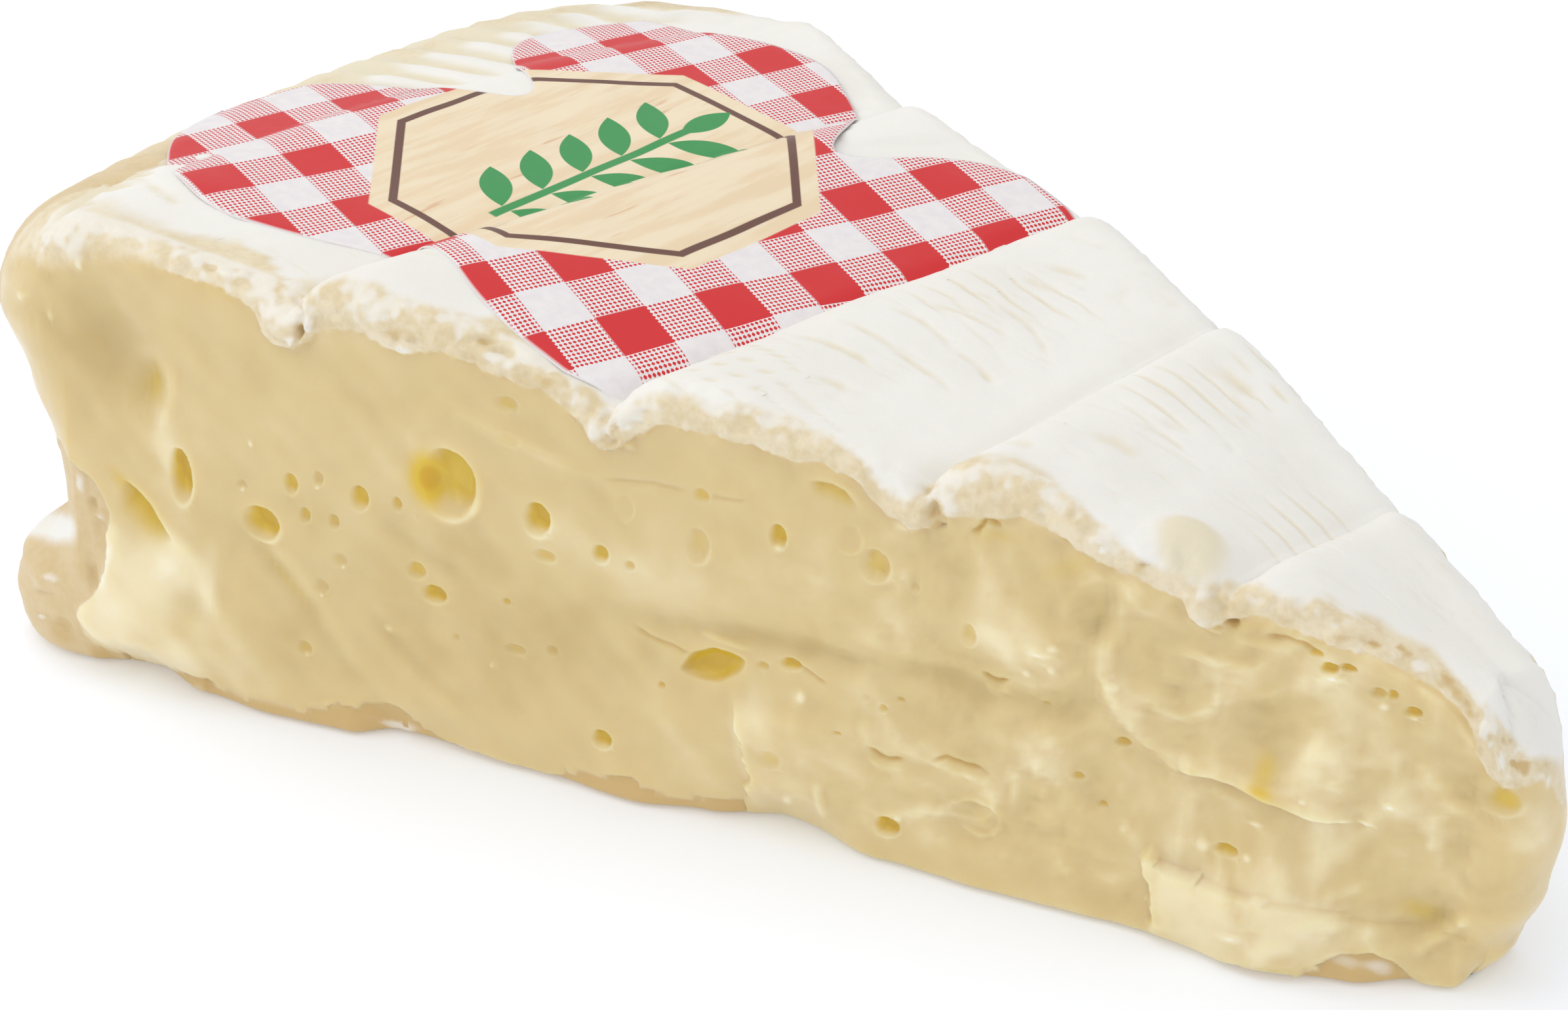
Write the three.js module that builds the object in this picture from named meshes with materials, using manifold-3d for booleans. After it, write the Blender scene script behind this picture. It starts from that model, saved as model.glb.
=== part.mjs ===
// A wedge cut from a large flat wheel of soft white-mould cheese, with the piece of printed paper label
// that lies on its top. Millimetres, +Z up. The wedge stands on its flat foot with its tip towards +X.

import * as THREE from "three";
import { mergeVertices } from "three/addons/utils/BufferGeometryUtils.js";
import Module from "manifold-3d";

const wasm = await Module();
wasm.setup();

// Driving dimensions of the wheel and of the cut
const WHEEL_RADIUS = 110.6;
const WEDGE_ANGLE = THREE.MathUtils.degToRad(38.6);
const NEAR_CORNER_RADIUS = 8;
const FAR_CORNER_RADIUS = 18;
const TIP_RADIUS = 3.6;
const TIP_STATION = 11.2;

// Creases that the rack pressed across the top: how far each starts from the point where the two cuts
// would meet, along the near cut and along the far cut, and the height of its bottom at both ends
const RIM_TOP = {
  near: footOfCorner(NEAR_CORNER_RADIUS),
  far: footOfCorner(FAR_CORNER_RADIUS),
  height: 32.2,
  farHeight: 32.4,
};
const CREASES = [
  { near: 85, far: 76.6, height: 30.3, farHeight: 30.6 },
  { near: 63.5, far: 58.6, height: 27.7, farHeight: 28.4 },
  { near: 43.9, far: 43.3, height: 26.3, farHeight: 27 },
  { near: 25.9, far: 25, height: 23.6, farHeight: 23 },
];
const TIP_TOP = { near: TIP_STATION, far: TIP_STATION, height: 19.4, farHeight: 19.2 };

// The top swells after each crease, quickly and then flatly down to the next one, and less at the far cut
const SWELLS = [1.1, 3.2, 2.9, 2.9, 1.2];
const SWELL_RISE = 0.1;
const SWELL_LENGTHENING = 1.35;
const FAR_SWELL_SHARE = 0.6;

// Share of the length at each end over which the lines across turn into the corners
const CORNER_SHARE = 0.12;
// The lines across bow out with the rim from this far behind the first crease
const BOW_AHEAD = 6;
const BOW_FULL = 2;

// Rounding where the top meets the walls, and of the foot
const CUT_SHOULDER = 1.9;
const FAR_SHOULDER = 2.8;
const RIM_SHOULDER = 8;
const TIP_SHOULDER = 6;
const FOOT_ROUNDING = 0.8;

// How far the rim stands back from its widest line, at its height in millimetres
const RIM_PROFILE = [
  [0, 1.1],
  [1.2, 0.2],
  [3.5, -0.5],
  [5.9, -0.2],
  [8.4, 2.7],
  [11, 5.4],
  [16, 4.4],
  [20, 2.2],
  [25, 0],
];
const TIP_PROFILE = [
  [0, 2.2],
  [2.5, 0.9],
  [6, -0.3],
  [10, -0.8],
  [14, -0.25],
];

// How far the foot of the near cut stands out, at its distance from the tip
const FOOT_LINE = [
  [10, -1.9],
  [13, -0.3],
  [17, 1.2],
  [22, 2.2],
  [27, 1],
  [38, 0.8],
  [46, 0.2],
  [53, -2.1],
  [58, -0.4],
  [62.5, 0.5],
  [70, -0.4],
  [80, -1.3],
  [83, 0.3],
  [89, 0.4],
  [94, -0.3],
  [99, -2.2],
  [104, -1.2],
];
const FOOT_HEIGHT = 4.5;
// The far cut leans in by this much towards the rim
const FAR_LEAN = 3;
const FAR_LEAN_FROM = 58;
const FAR_LEAN_TO = 74;

// Soft swells of the paste on each cut: distance from the tip, height, half length, half height and
// how far it stands out
const NEAR_SWELLS = [
  { along: 96, up: 6, length: 8, height: 5, out: 1.2 },
  { along: 74, up: 20, length: 16, height: 8, out: 0.7 },
  { along: 52, up: 9, length: 8, height: 4, out: 0.9 },
  { along: 37, up: 4, length: 10, height: 5, out: 0.6 },
  { along: 41, up: 18, length: 12, height: 6, out: 0.6 },
  { along: 22, up: 4, length: 6, height: 5, out: 2 },
  { along: 83, up: 11, length: 7, height: 6, out: -0.8 },
  { along: 62, up: 11, length: 9, height: 4, out: -0.6 },
];
const FAR_SWELLS = [
  { along: 88, up: 9, length: 10, height: 7, out: 1 },
  { along: 66, up: 18, length: 14, height: 8, out: 0.8 },
  { along: 46, up: 7, length: 10, height: 6, out: 1 },
  { along: 27, up: 12, length: 9, height: 7, out: 0.7 },
  { along: 56, up: 12, length: 9, height: 5, out: -0.7 },
];

// Eyes in the paste: distance from the tip, height, half length, half height and depth
const NEAR_EYES = [
  { along: 74.5, up: 20, length: 2, height: 2.4, depth: 2.6 },
  { along: 68.5, up: 18.9, length: 1.1, height: 1.2, depth: 1.4 },
  { along: 93.6, up: 16.6, length: 0.9, height: 1.8, depth: 1.6 },
  { along: 88.3, up: 14.5, length: 1.6, height: 1.2, depth: 1.5 },
  { along: 76, up: 12.2, length: 1, height: 0.8, depth: 1.5 },
  { along: 58.1, up: 19.4, length: 0.9, height: 1.1, depth: 0.9 },
  { along: 64.7, up: 4.2, length: 0.8, height: 0.8, depth: 1 },
  { along: 45.8, up: 2.9, length: 0.9, height: 0.8, depth: 1 },
  { along: 56.8, up: 11.1, length: 2.3, height: 1.1, depth: 2.2 },
];
const FAR_EYES = [
  { along: 82, up: 17, length: 1.5, height: 1.6, depth: 1.8 },
  { along: 70, up: 11, length: 1, height: 1, depth: 1.2 },
  { along: 61, up: 20, length: 1.3, height: 1.5, depth: 1.5 },
  { along: 40, up: 15, length: 1, height: 0.9, depth: 1.1 },
];
const EYE_SIDES = 12;
const EYE_RINGS = 8;

// Mesh density: steps in each corner zone, in each stretch between creases, across and up
const CORNER_LEVELS = [1, 0.93, 0.8, 0.6, 0.32, 0];
const STRETCH_STEPS = [6, 11, 10, 9, 7];
const ACROSS_STEPS = 8;
const WALL_STEPS = 10;
const UP_STEPS = WALL_STEPS + 2;

// Paper label on the top. It is square with a lobe at each corner, and ends in the second crease.
const LABEL = {
  reach: 106,
  halfWidth: 20.4,
  cornerRadius: 9,
  nearMargin: 0.9,
  farMargin: 1.6,
  thickness: 0.25,
  gap: 0.35,
  rimSteps: 10,
  acrossSteps: 18,
};
// Lobes and waists of its sides: distance from the tip, half length and how far it stands out
const LABEL_NEAR_LOBES = [
  { along: 91, length: 6, out: 2.6 },
  { along: 79, length: 6, out: -2.8 },
];
const LABEL_FAR_LOBES = [
  { along: 89, length: 7, out: 4.6 },
  { along: 75.2, length: 3.4, out: -7 },
];
// Its end at the rim, where -1 is its full reach, 0 the line where the rim's top starts to round over and
// 1 the first crease: at both sides, and at the waist between two lobes
const LABEL_RIM_END = { near: -1, far: -0.3, waist: 0.9, waistShare: 0.56, waistBreadth: 0.135 };

const HALF_ANGLE = WEDGE_ANGLE / 2;
const nearLine = new THREE.Vector2(-Math.cos(HALF_ANGLE), -Math.sin(HALF_ANGLE));
const farLine = new THREE.Vector2(-Math.cos(HALF_ANGLE), Math.sin(HALF_ANGLE));
const nearOut = new THREE.Vector2(Math.sin(HALF_ANGLE), -Math.cos(HALF_ANGLE));
const farOut = new THREE.Vector2(Math.sin(HALF_ANGLE), Math.cos(HALF_ANGLE));

const CORNER_STEPS = CORNER_LEVELS.length - 1;
const STATIONS = [RIM_TOP, ...CREASES, TIP_TOP];
const LENGTH_STEPS = STRETCH_STEPS.reduce((sum, steps) => sum + steps, 0);

// Where the arc of a rim corner starts on the straight cut, from the point where the cuts would meet
function footOfCorner(radius) {
  return Math.sqrt((WHEEL_RADIUS - radius) ** 2 - radius ** 2);
}

const smooth = (low, high, value) => THREE.MathUtils.smoothstep(value, low, high);
const mix = THREE.MathUtils.lerp;

// Value of a profile given as [place, value] corners, eased from corner to corner
function profileAt(profile, place) {
  for (let n = 1; n < profile.length; n += 1) {
    const [left, low] = profile[n - 1];
    const [right, high] = profile[n];
    if (place <= right) return mix(low, high, smooth(left, right, place));
  }
  return profile[profile.length - 1][1];
}

// One line across the top, at a step between the rim and the tip: its two ends and their heights
function lineAcross(step) {
  let stretch = 0;
  let inside = step;
  while (stretch < STRETCH_STEPS.length - 1 && inside >= STRETCH_STEPS[stretch]) {
    inside -= STRETCH_STEPS[stretch];
    stretch += 1;
  }
  const from = STATIONS[stretch];
  const to = STATIONS[stretch + 1];
  const part = inside / STRETCH_STEPS[stretch];
  const eased = part ** (stretch === 0 ? 1 : SWELL_LENGTHENING);
  const swell = SWELLS[stretch] * (1 - eased) * (1 - Math.exp(-eased / SWELL_RISE));
  return {
    near: mix(from.near, to.near, eased),
    far: mix(from.far, to.far, eased),
    height: mix(from.height, to.height, eased) + swell,
    farHeight: mix(from.farHeight, to.farHeight, eased) + swell * FAR_SWELL_SHARE,
  };
}

// The rim is an arc about the point where the cuts would meet, and lines near it bow out with it
function bowedPoint(nearEnd, farEnd, share, bow) {
  const straight = nearEnd.clone().lerp(farEnd, share);
  const distance = mix(nearEnd.length(), farEnd.length(), share);
  const nearAngle = Math.atan2(nearEnd.y, -nearEnd.x);
  const farAngle = Math.atan2(farEnd.y, -farEnd.x);
  const angle = mix(nearAngle, farAngle, share);
  const round = new THREE.Vector2(-Math.cos(angle), Math.sin(angle)).multiplyScalar(distance);
  return straight.lerp(round, bow);
}

const bowOf = (station) => smooth(CREASES[0].near - BOW_AHEAD, RIM_TOP.near - BOW_FULL, station);

// How far the far cut stands in from its straight line
const farLean = (station) => FAR_LEAN * smooth(FAR_LEAN_FROM, FAR_LEAN_TO, station);

// The two ends of a line across, on the cuts
function endsOf(line) {
  const nearEnd = nearLine.clone().multiplyScalar(line.near);
  const farEnd = farLine.clone().multiplyScalar(line.far).addScaledVector(farOut, -farLean(line.far));
  return { nearEnd, farEnd };
}

// A point in plan on a line across, a share of the way from the near cut to the far cut
function pointInPlan(line, share) {
  const { nearEnd, farEnd } = endsOf(line);
  return bowedPoint(nearEnd, farEnd, share, bowOf(line.near));
}

// Corner zones are laid out on arcs: how deep a vertex lies in the zone, and in which direction
function cornerDirection(alongPart, acrossPart, endOut, sideOut) {
  const direction = endOut.clone().multiplyScalar(Math.abs(alongPart));
  direction.addScaledVector(sideOut, Math.abs(acrossPart));
  return direction.normalize();
}

function levelAt(index, last) {
  if (index < CORNER_STEPS) return -CORNER_LEVELS[index];
  if (index > last - CORNER_STEPS) return CORNER_LEVELS[last - index];
  return 0;
}

// Place in plan of a grid point: how near the outline it is, its outward direction, and how far it
// belongs to the rim or to the tip
function planOf(along, across) {
  const alongLast = LENGTH_STEPS + 2 * CORNER_STEPS;
  const acrossLast = ACROSS_STEPS + 2 * CORNER_STEPS;
  const alongLevel = levelAt(along, alongLast);
  const acrossLevel = levelAt(across, acrossLast);
  const step = THREE.MathUtils.clamp(along - CORNER_STEPS, 0, LENGTH_STEPS);
  const line = lineAcross(step);
  const progress = step / LENGTH_STEPS;
  const toTip = (RIM_TOP.near - line.near) / (RIM_TOP.near - TIP_STATION);
  const nearRadius = mix(NEAR_CORNER_RADIUS, TIP_RADIUS, toTip);
  const farRadius = mix(FAR_CORNER_RADIUS, TIP_RADIUS, Math.sqrt(toTip));
  const share = THREE.MathUtils.clamp((across - CORNER_STEPS) / ACROSS_STEPS, 0, 1);
  const radius = mix(nearRadius, farRadius, share);

  const { nearEnd, farEnd } = endsOf(line);
  const ridge = farEnd.clone().sub(nearEnd).normalize();
  const straight = Math.min(smooth(0, CORNER_SHARE, progress), 1 - smooth(1 - CORNER_SHARE, 1, progress));
  const nearIn = nearOut.clone().negate().lerp(ridge.clone().divideScalar(-ridge.dot(nearOut)), straight);
  const farIn = farOut.clone().negate().lerp(ridge.clone().divideScalar(-ridge.dot(farOut)), straight);
  const nearCore = nearEnd.addScaledVector(nearIn, nearRadius);
  const farCore = farEnd.addScaledVector(farIn, farRadius);
  const core = bowedPoint(nearCore, farCore, share, bowOf(line.near));

  const level = Math.max(Math.abs(alongLevel), Math.abs(acrossLevel));
  const sideOut = acrossLevel < 0 ? nearOut : farOut;
  const endOut = alongLevel < 0 ? core.clone().normalize() : new THREE.Vector2(1, 0);
  let point = core;
  let out = acrossLevel === 0 ? endOut : sideOut;
  if (alongLevel !== 0) {
    out = cornerDirection(alongLevel, acrossLevel, endOut, sideOut);
    point = core.clone().addScaledVector(out, radius * level);
  } else if (acrossLevel !== 0) {
    const inward = acrossLevel < 0 ? nearIn : farIn;
    point = core.clone().addScaledVector(inward, -radius * level);
  }
  const turn = alongLevel === 0 ? 0 : Math.abs(alongLevel) / Math.hypot(alongLevel, acrossLevel);
  return {
    point,
    out,
    level,
    inset: radius * (1 - level),
    height: mix(line.height, line.farHeight, share),
    share,
    rim: alongLevel < 0 ? turn : 0,
    tip: alongLevel > 0 ? Math.min(turn * Math.SQRT2, 1) : 0,
  };
}

function shoulderOf(place) {
  const cutShoulder = mix(CUT_SHOULDER, FAR_SHOULDER, place.share);
  return mix(mix(cutShoulder, RIM_SHOULDER, Math.sqrt(place.rim)), TIP_SHOULDER, place.tip);
}

// Height lost near an edge that is rounded to a radius
function roundingDrop(radius, inset) {
  const left = Math.max(radius - inset, 0);
  return radius - Math.sqrt(Math.max(radius * radius - left * left, 0));
}

function swellOut(swells, along, up) {
  let out = 0;
  for (const swell of swells) {
    const u = (along - swell.along) / swell.length;
    const v = (up - swell.up) / swell.height;
    out += swell.out * Math.exp(-(u * u + v * v));
  }
  return out;
}

// How far a wall stands out from, or back from, the outline in plan at a height
function wallOut(place, up) {
  const cut = 1 - place.rim - place.tip;
  const along = place.point.length();
  const near = place.point.y < 0;
  const swell = swellOut(near ? NEAR_SWELLS : FAR_SWELLS, along, up);
  const foot = near ? profileAt(FOOT_LINE, along) : 0;
  const cutOut = mix(foot, swell, smooth(0, FOOT_HEIGHT, up)) * Math.sqrt(cut);
  return cutOut - profileAt(RIM_PROFILE, up) * place.rim - profileAt(TIP_PROFILE, up) * place.tip;
}

// The wedge is a box of fine steps, pulled point by point into the shape
function wedgeSolid() {
  const alongLast = LENGTH_STEPS + 2 * CORNER_STEPS;
  const acrossLast = ACROSS_STEPS + 2 * CORNER_STEPS;
  const geometry = new THREE.BoxGeometry(2, 2, 2, alongLast, acrossLast, UP_STEPS);
  const position = geometry.attributes.position;
  for (let n = 0; n < position.count; n += 1) {
    const along = Math.round(((position.getX(n) + 1) / 2) * alongLast);
    const across = Math.round(((position.getY(n) + 1) / 2) * acrossLast);
    const step = Math.round(((position.getZ(n) + 1) / 2) * UP_STEPS);
    const place = planOf(along, across);
    const shoulder = shoulderOf(place);
    const edge = place.height - shoulder;
    let up = mix(FOOT_ROUNDING, edge, (step - 1) / WALL_STEPS);
    if (step === 0) up = 0;
    if (step === UP_STEPS) up = place.height - roundingDrop(shoulder, place.inset);
    const out = (wallOut(place, up) - (step === 0 ? FOOT_ROUNDING : 0)) * place.level;
    position.setXYZ(n, place.point.x + place.out.x * out, place.point.y + place.out.y * out, up);
  }
  return toManifold(geometry);
}

// A closed mesh with shared corners, as a solid that can be cut
function toManifold(geometry) {
  geometry.deleteAttribute("normal");
  geometry.deleteAttribute("uv");
  const merged = mergeVertices(geometry, 1e-5);
  const mesh = new wasm.Mesh({
    numProp: 3,
    vertProperties: new Float32Array(merged.attributes.position.array),
    triVerts: new Uint32Array(merged.index.array),
  });
  return new wasm.Manifold(mesh);
}

function toGeometry(solid) {
  const mesh = solid.getMesh();
  const geometry = new THREE.BufferGeometry();
  geometry.setAttribute("position", new THREE.Float32BufferAttribute(mesh.vertProperties, 3));
  geometry.setIndex(new THREE.Uint32BufferAttribute(mesh.triVerts, 1));
  geometry.computeVertexNormals();
  return geometry;
}

// An eye is an ellipsoid centred on the cut, turned to lie along it
function eyeSolid(eye, line, out, swells) {
  const geometry = new THREE.SphereGeometry(1, EYE_SIDES, EYE_RINGS);
  geometry.scale(eye.length, eye.depth, eye.height);
  geometry.rotateZ(Math.atan2(line.y, line.x));
  const stand = swellOut(swells, eye.along, eye.up);
  const centre = line.clone().multiplyScalar(eye.along).addScaledVector(out, stand);
  geometry.translate(centre.x, centre.y, eye.up);
  return toManifold(geometry);
}

function cheeseGeometry() {
  let solid = wedgeSolid();
  for (const eye of NEAR_EYES) solid = solid.subtract(eyeSolid(eye, nearLine, nearOut, NEAR_SWELLS));
  for (const eye of FAR_EYES) solid = solid.subtract(eyeSolid(eye, farLine, farOut, FAR_SWELLS));
  return toGeometry(solid);
}

// Outline of one side of the label: half its width at a distance from the tip, with a round corner
function labelHalfWidth(station, lobes) {
  const left = LABEL.cornerRadius - Math.min(LABEL.reach - station, LABEL.cornerRadius);
  let width = LABEL.halfWidth - LABEL.cornerRadius + Math.sqrt(LABEL.cornerRadius ** 2 - left ** 2);
  for (const lobe of lobes) width += lobe.out * Math.exp(-(((station - lobe.along) / lobe.length) ** 2));
  return width;
}

// A line across the label, a share of the way from its end at the rim to the first crease
function labelRimLine(share, rimShare) {
  const aside = (share - LABEL_RIM_END.waistShare) / LABEL_RIM_END.waistBreadth;
  const waist = LABEL_RIM_END.waist * Math.exp(-aside * aside);
  const end = mix(LABEL_RIM_END.near, LABEL_RIM_END.far, share) + waist;
  const place = mix(end, 1, rimShare);
  const beyond = Math.max(-place, 0);
  const line = lineAcross(Math.max(place, 0) * STRETCH_STEPS[0]);
  line.near = mix(line.near, LABEL.reach, beyond);
  line.far = mix(line.far, LABEL.reach, beyond);
  return line;
}

// The label lies on the top from the rim to the second crease, so beyond the first it shares its lines
function labelGeometry() {
  const alongLast = LABEL.rimSteps + STRETCH_STEPS[1];
  const geometry = new THREE.BoxGeometry(2, 2, 2, alongLast, LABEL.acrossSteps, 1);
  const position = geometry.attributes.position;
  for (let n = 0; n < position.count; n += 1) {
    const along = Math.round(((position.getX(n) + 1) / 2) * alongLast);
    const share = (position.getY(n) + 1) / 2;
    const line = along < LABEL.rimSteps
      ? labelRimLine(share, along / LABEL.rimSteps)
      : lineAcross(STRETCH_STEPS[0] + along - LABEL.rimSteps);
    const station = (line.near + line.far) / 2;
    const half = station * Math.sin(HALF_ANGLE);
    const nearSide = -Math.min(labelHalfWidth(station, LABEL_NEAR_LOBES), half - LABEL.nearMargin) / half;
    const farSide = Math.min(labelHalfWidth(station, LABEL_FAR_LOBES), half - LABEL.farMargin) / half;
    const across = (mix(nearSide, farSide, share) + 1) / 2;
    const point = pointInPlan(line, across);
    const drop = roundingDrop(RIM_SHOULDER, WHEEL_RADIUS - point.length());
    const face = position.getZ(n) > 0 ? LABEL.thickness : 0;
    const height = mix(line.height, line.farHeight, across);
    position.setXYZ(n, point.x, point.y, height - drop + LABEL.gap + face);
  }
  return toGeometry(toManifold(geometry));
}

const cheeseMaterial = new THREE.MeshStandardMaterial({ color: 0xe9dcb2, roughness: 0.45, metalness: 0 });
const labelMaterial = new THREE.MeshStandardMaterial({ color: 0xe3a6a4, roughness: 0.6, metalness: 0 });

const cheese = new THREE.Mesh(cheeseGeometry(), cheeseMaterial);
cheese.name = "cheese";
const label = new THREE.Mesh(labelGeometry(), labelMaterial);
label.name = "label";

// The origin is the middle of the foot: the centre of the cheese's box, at its lowest height
cheese.geometry.computeBoundingBox();
const middle = cheese.geometry.boundingBox.getCenter(new THREE.Vector3());
const wedge = new THREE.Group();
wedge.add(cheese, label);
wedge.position.set(-middle.x, -middle.y, 0);

const group = new THREE.Group();
group.add(wedge);

export default group;
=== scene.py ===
# A wedge of soft white-mould cheese with a piece of paper label on its top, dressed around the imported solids.
# Shapes are worked out in millimetres in the cutter's frame: the point where the two cuts would meet is the
# origin, the rim of the wheel lies towards -X and the floor is at zero. Meshes are in metres.

import math

import bmesh
import bpy
import numpy as np
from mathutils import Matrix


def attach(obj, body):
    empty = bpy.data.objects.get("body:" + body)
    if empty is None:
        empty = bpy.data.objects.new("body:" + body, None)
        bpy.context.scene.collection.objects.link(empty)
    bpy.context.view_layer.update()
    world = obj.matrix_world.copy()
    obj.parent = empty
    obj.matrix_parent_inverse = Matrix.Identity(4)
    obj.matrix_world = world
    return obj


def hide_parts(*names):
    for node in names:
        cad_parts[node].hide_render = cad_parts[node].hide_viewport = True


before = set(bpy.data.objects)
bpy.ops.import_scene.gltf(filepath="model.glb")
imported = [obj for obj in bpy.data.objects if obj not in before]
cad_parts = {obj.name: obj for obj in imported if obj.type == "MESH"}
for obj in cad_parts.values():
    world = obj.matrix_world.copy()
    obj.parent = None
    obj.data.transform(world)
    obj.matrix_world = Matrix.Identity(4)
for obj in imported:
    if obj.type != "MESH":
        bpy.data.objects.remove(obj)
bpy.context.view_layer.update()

bl_info = {
    "name": "Cheese wedge",
    "version": (1, 0, 0),
    "blender": (4, 5, 0),
    "location": "3D View > Sidebar > Cheese",
    "description": "Builds a wedge of soft white-mould cheese, its paper label and a plain stage",
    "category": "Add Mesh",
}

MM = 0.001
# The point where the cuts would meet, in the part's own frame
CUTTER_ORIGIN = np.array([59.4428, 3.0119, 0])

# The wheel and the cut, as in the solids
WHEEL_RADIUS = 110.6
WEDGE_ANGLE = math.radians(38.6)
NEAR_CORNER_RADIUS = 8
FAR_CORNER_RADIUS = 18
TIP_RADIUS = 3.6
TIP_STATION = 11.2


def foot_of_corner(radius):
    """Where the arc of a rim corner starts on the straight cut."""
    return math.sqrt((WHEEL_RADIUS - radius) ** 2 - radius**2)


# Lines across the top: where they meet the near and the far cut, and their heights there
STATIONS = np.array(
    [
        (foot_of_corner(NEAR_CORNER_RADIUS), foot_of_corner(FAR_CORNER_RADIUS), 32.2, 32.4),
        (85, 76.6, 30.3, 30.6),
        (63.5, 58.6, 27.7, 28.4),
        (43.9, 43.3, 26.3, 27),
        (25.9, 25, 23.6, 23),
        (TIP_STATION, TIP_STATION, 19.4, 19.2),
    ]
)
SWELLS = np.array([1.1, 3.2, 2.9, 2.9, 1.2])
SWELL_RISE = 0.1
SWELL_POWER = 1.35
FAR_SWELL_SHARE = 0.6
# Share of the wedge's length that each stretch takes, for the corners at its ends
STRETCH_SHARES = np.array([0, 6, 17, 27, 36, 43]) / 43
END_SHARE = 0.12

CUT_SHOULDER = 1.9
FAR_SHOULDER = 2.8
RIM_SHOULDER = 8
TIP_SHOULDER = 6
FOOT_ROUNDING = 0.8
RIM_PROFILE = [
    (0, -0.7), (1.2, -1.5), (3.5, -1.4), (5.9, -0.7), (8.4, 2.6), (11, 5.4), (16, 4.4), (20, 2.2), (25, 0),
]
TIP_PROFILE = [(0, 2.2), (2.5, 0.9), (6, -0.3), (10, -0.8), (14, -0.25)]
# How far the foot of the near cut stands out, at its distance from the cutter's origin
FOOT_LINE = [
    (10, -0.9), (13, -0.4), (17, 1.4), (22, 2.2), (27, 1), (38, 0.8), (46, 0.2), (53, -2.1), (58, -0.4),
    (62.5, 0.5), (70, -0.4), (80, -1.3), (83, 0.3), (89, 0.4), (94, -0.3), (99, -2.2), (104, -1.2),
]
FOOT_HEIGHT = 4.5
FAR_LEAN = 3
FAR_LEAN_FROM = 58
FAR_LEAN_TO = 74

# Soft swells of the paste: along the cut, height, half length, half height, turn, out
NEAR_SWELLS = [
    (96, 6, 8, 5, 0, 1.2), (74, 20, 16, 8, 0, 0.7), (52, 9, 8, 4, 0, 0.9), (37, 4, 10, 5, 0, 0.6),
    (41, 18, 12, 6, 0, 0.6), (22, 4, 6, 5, 0, 2), (83, 11, 7, 6, 0, -0.8), (62, 11, 9, 4, 0, -0.6),
]
FAR_SWELLS = [
    (88, 9, 10, 7, 0, 1), (66, 18, 14, 8, 0, 0.8), (46, 7, 10, 6, 0, 1), (27, 12, 9, 7, 0, 0.7),
    (56, 12, 9, 5, 0, -0.7),
]

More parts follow.
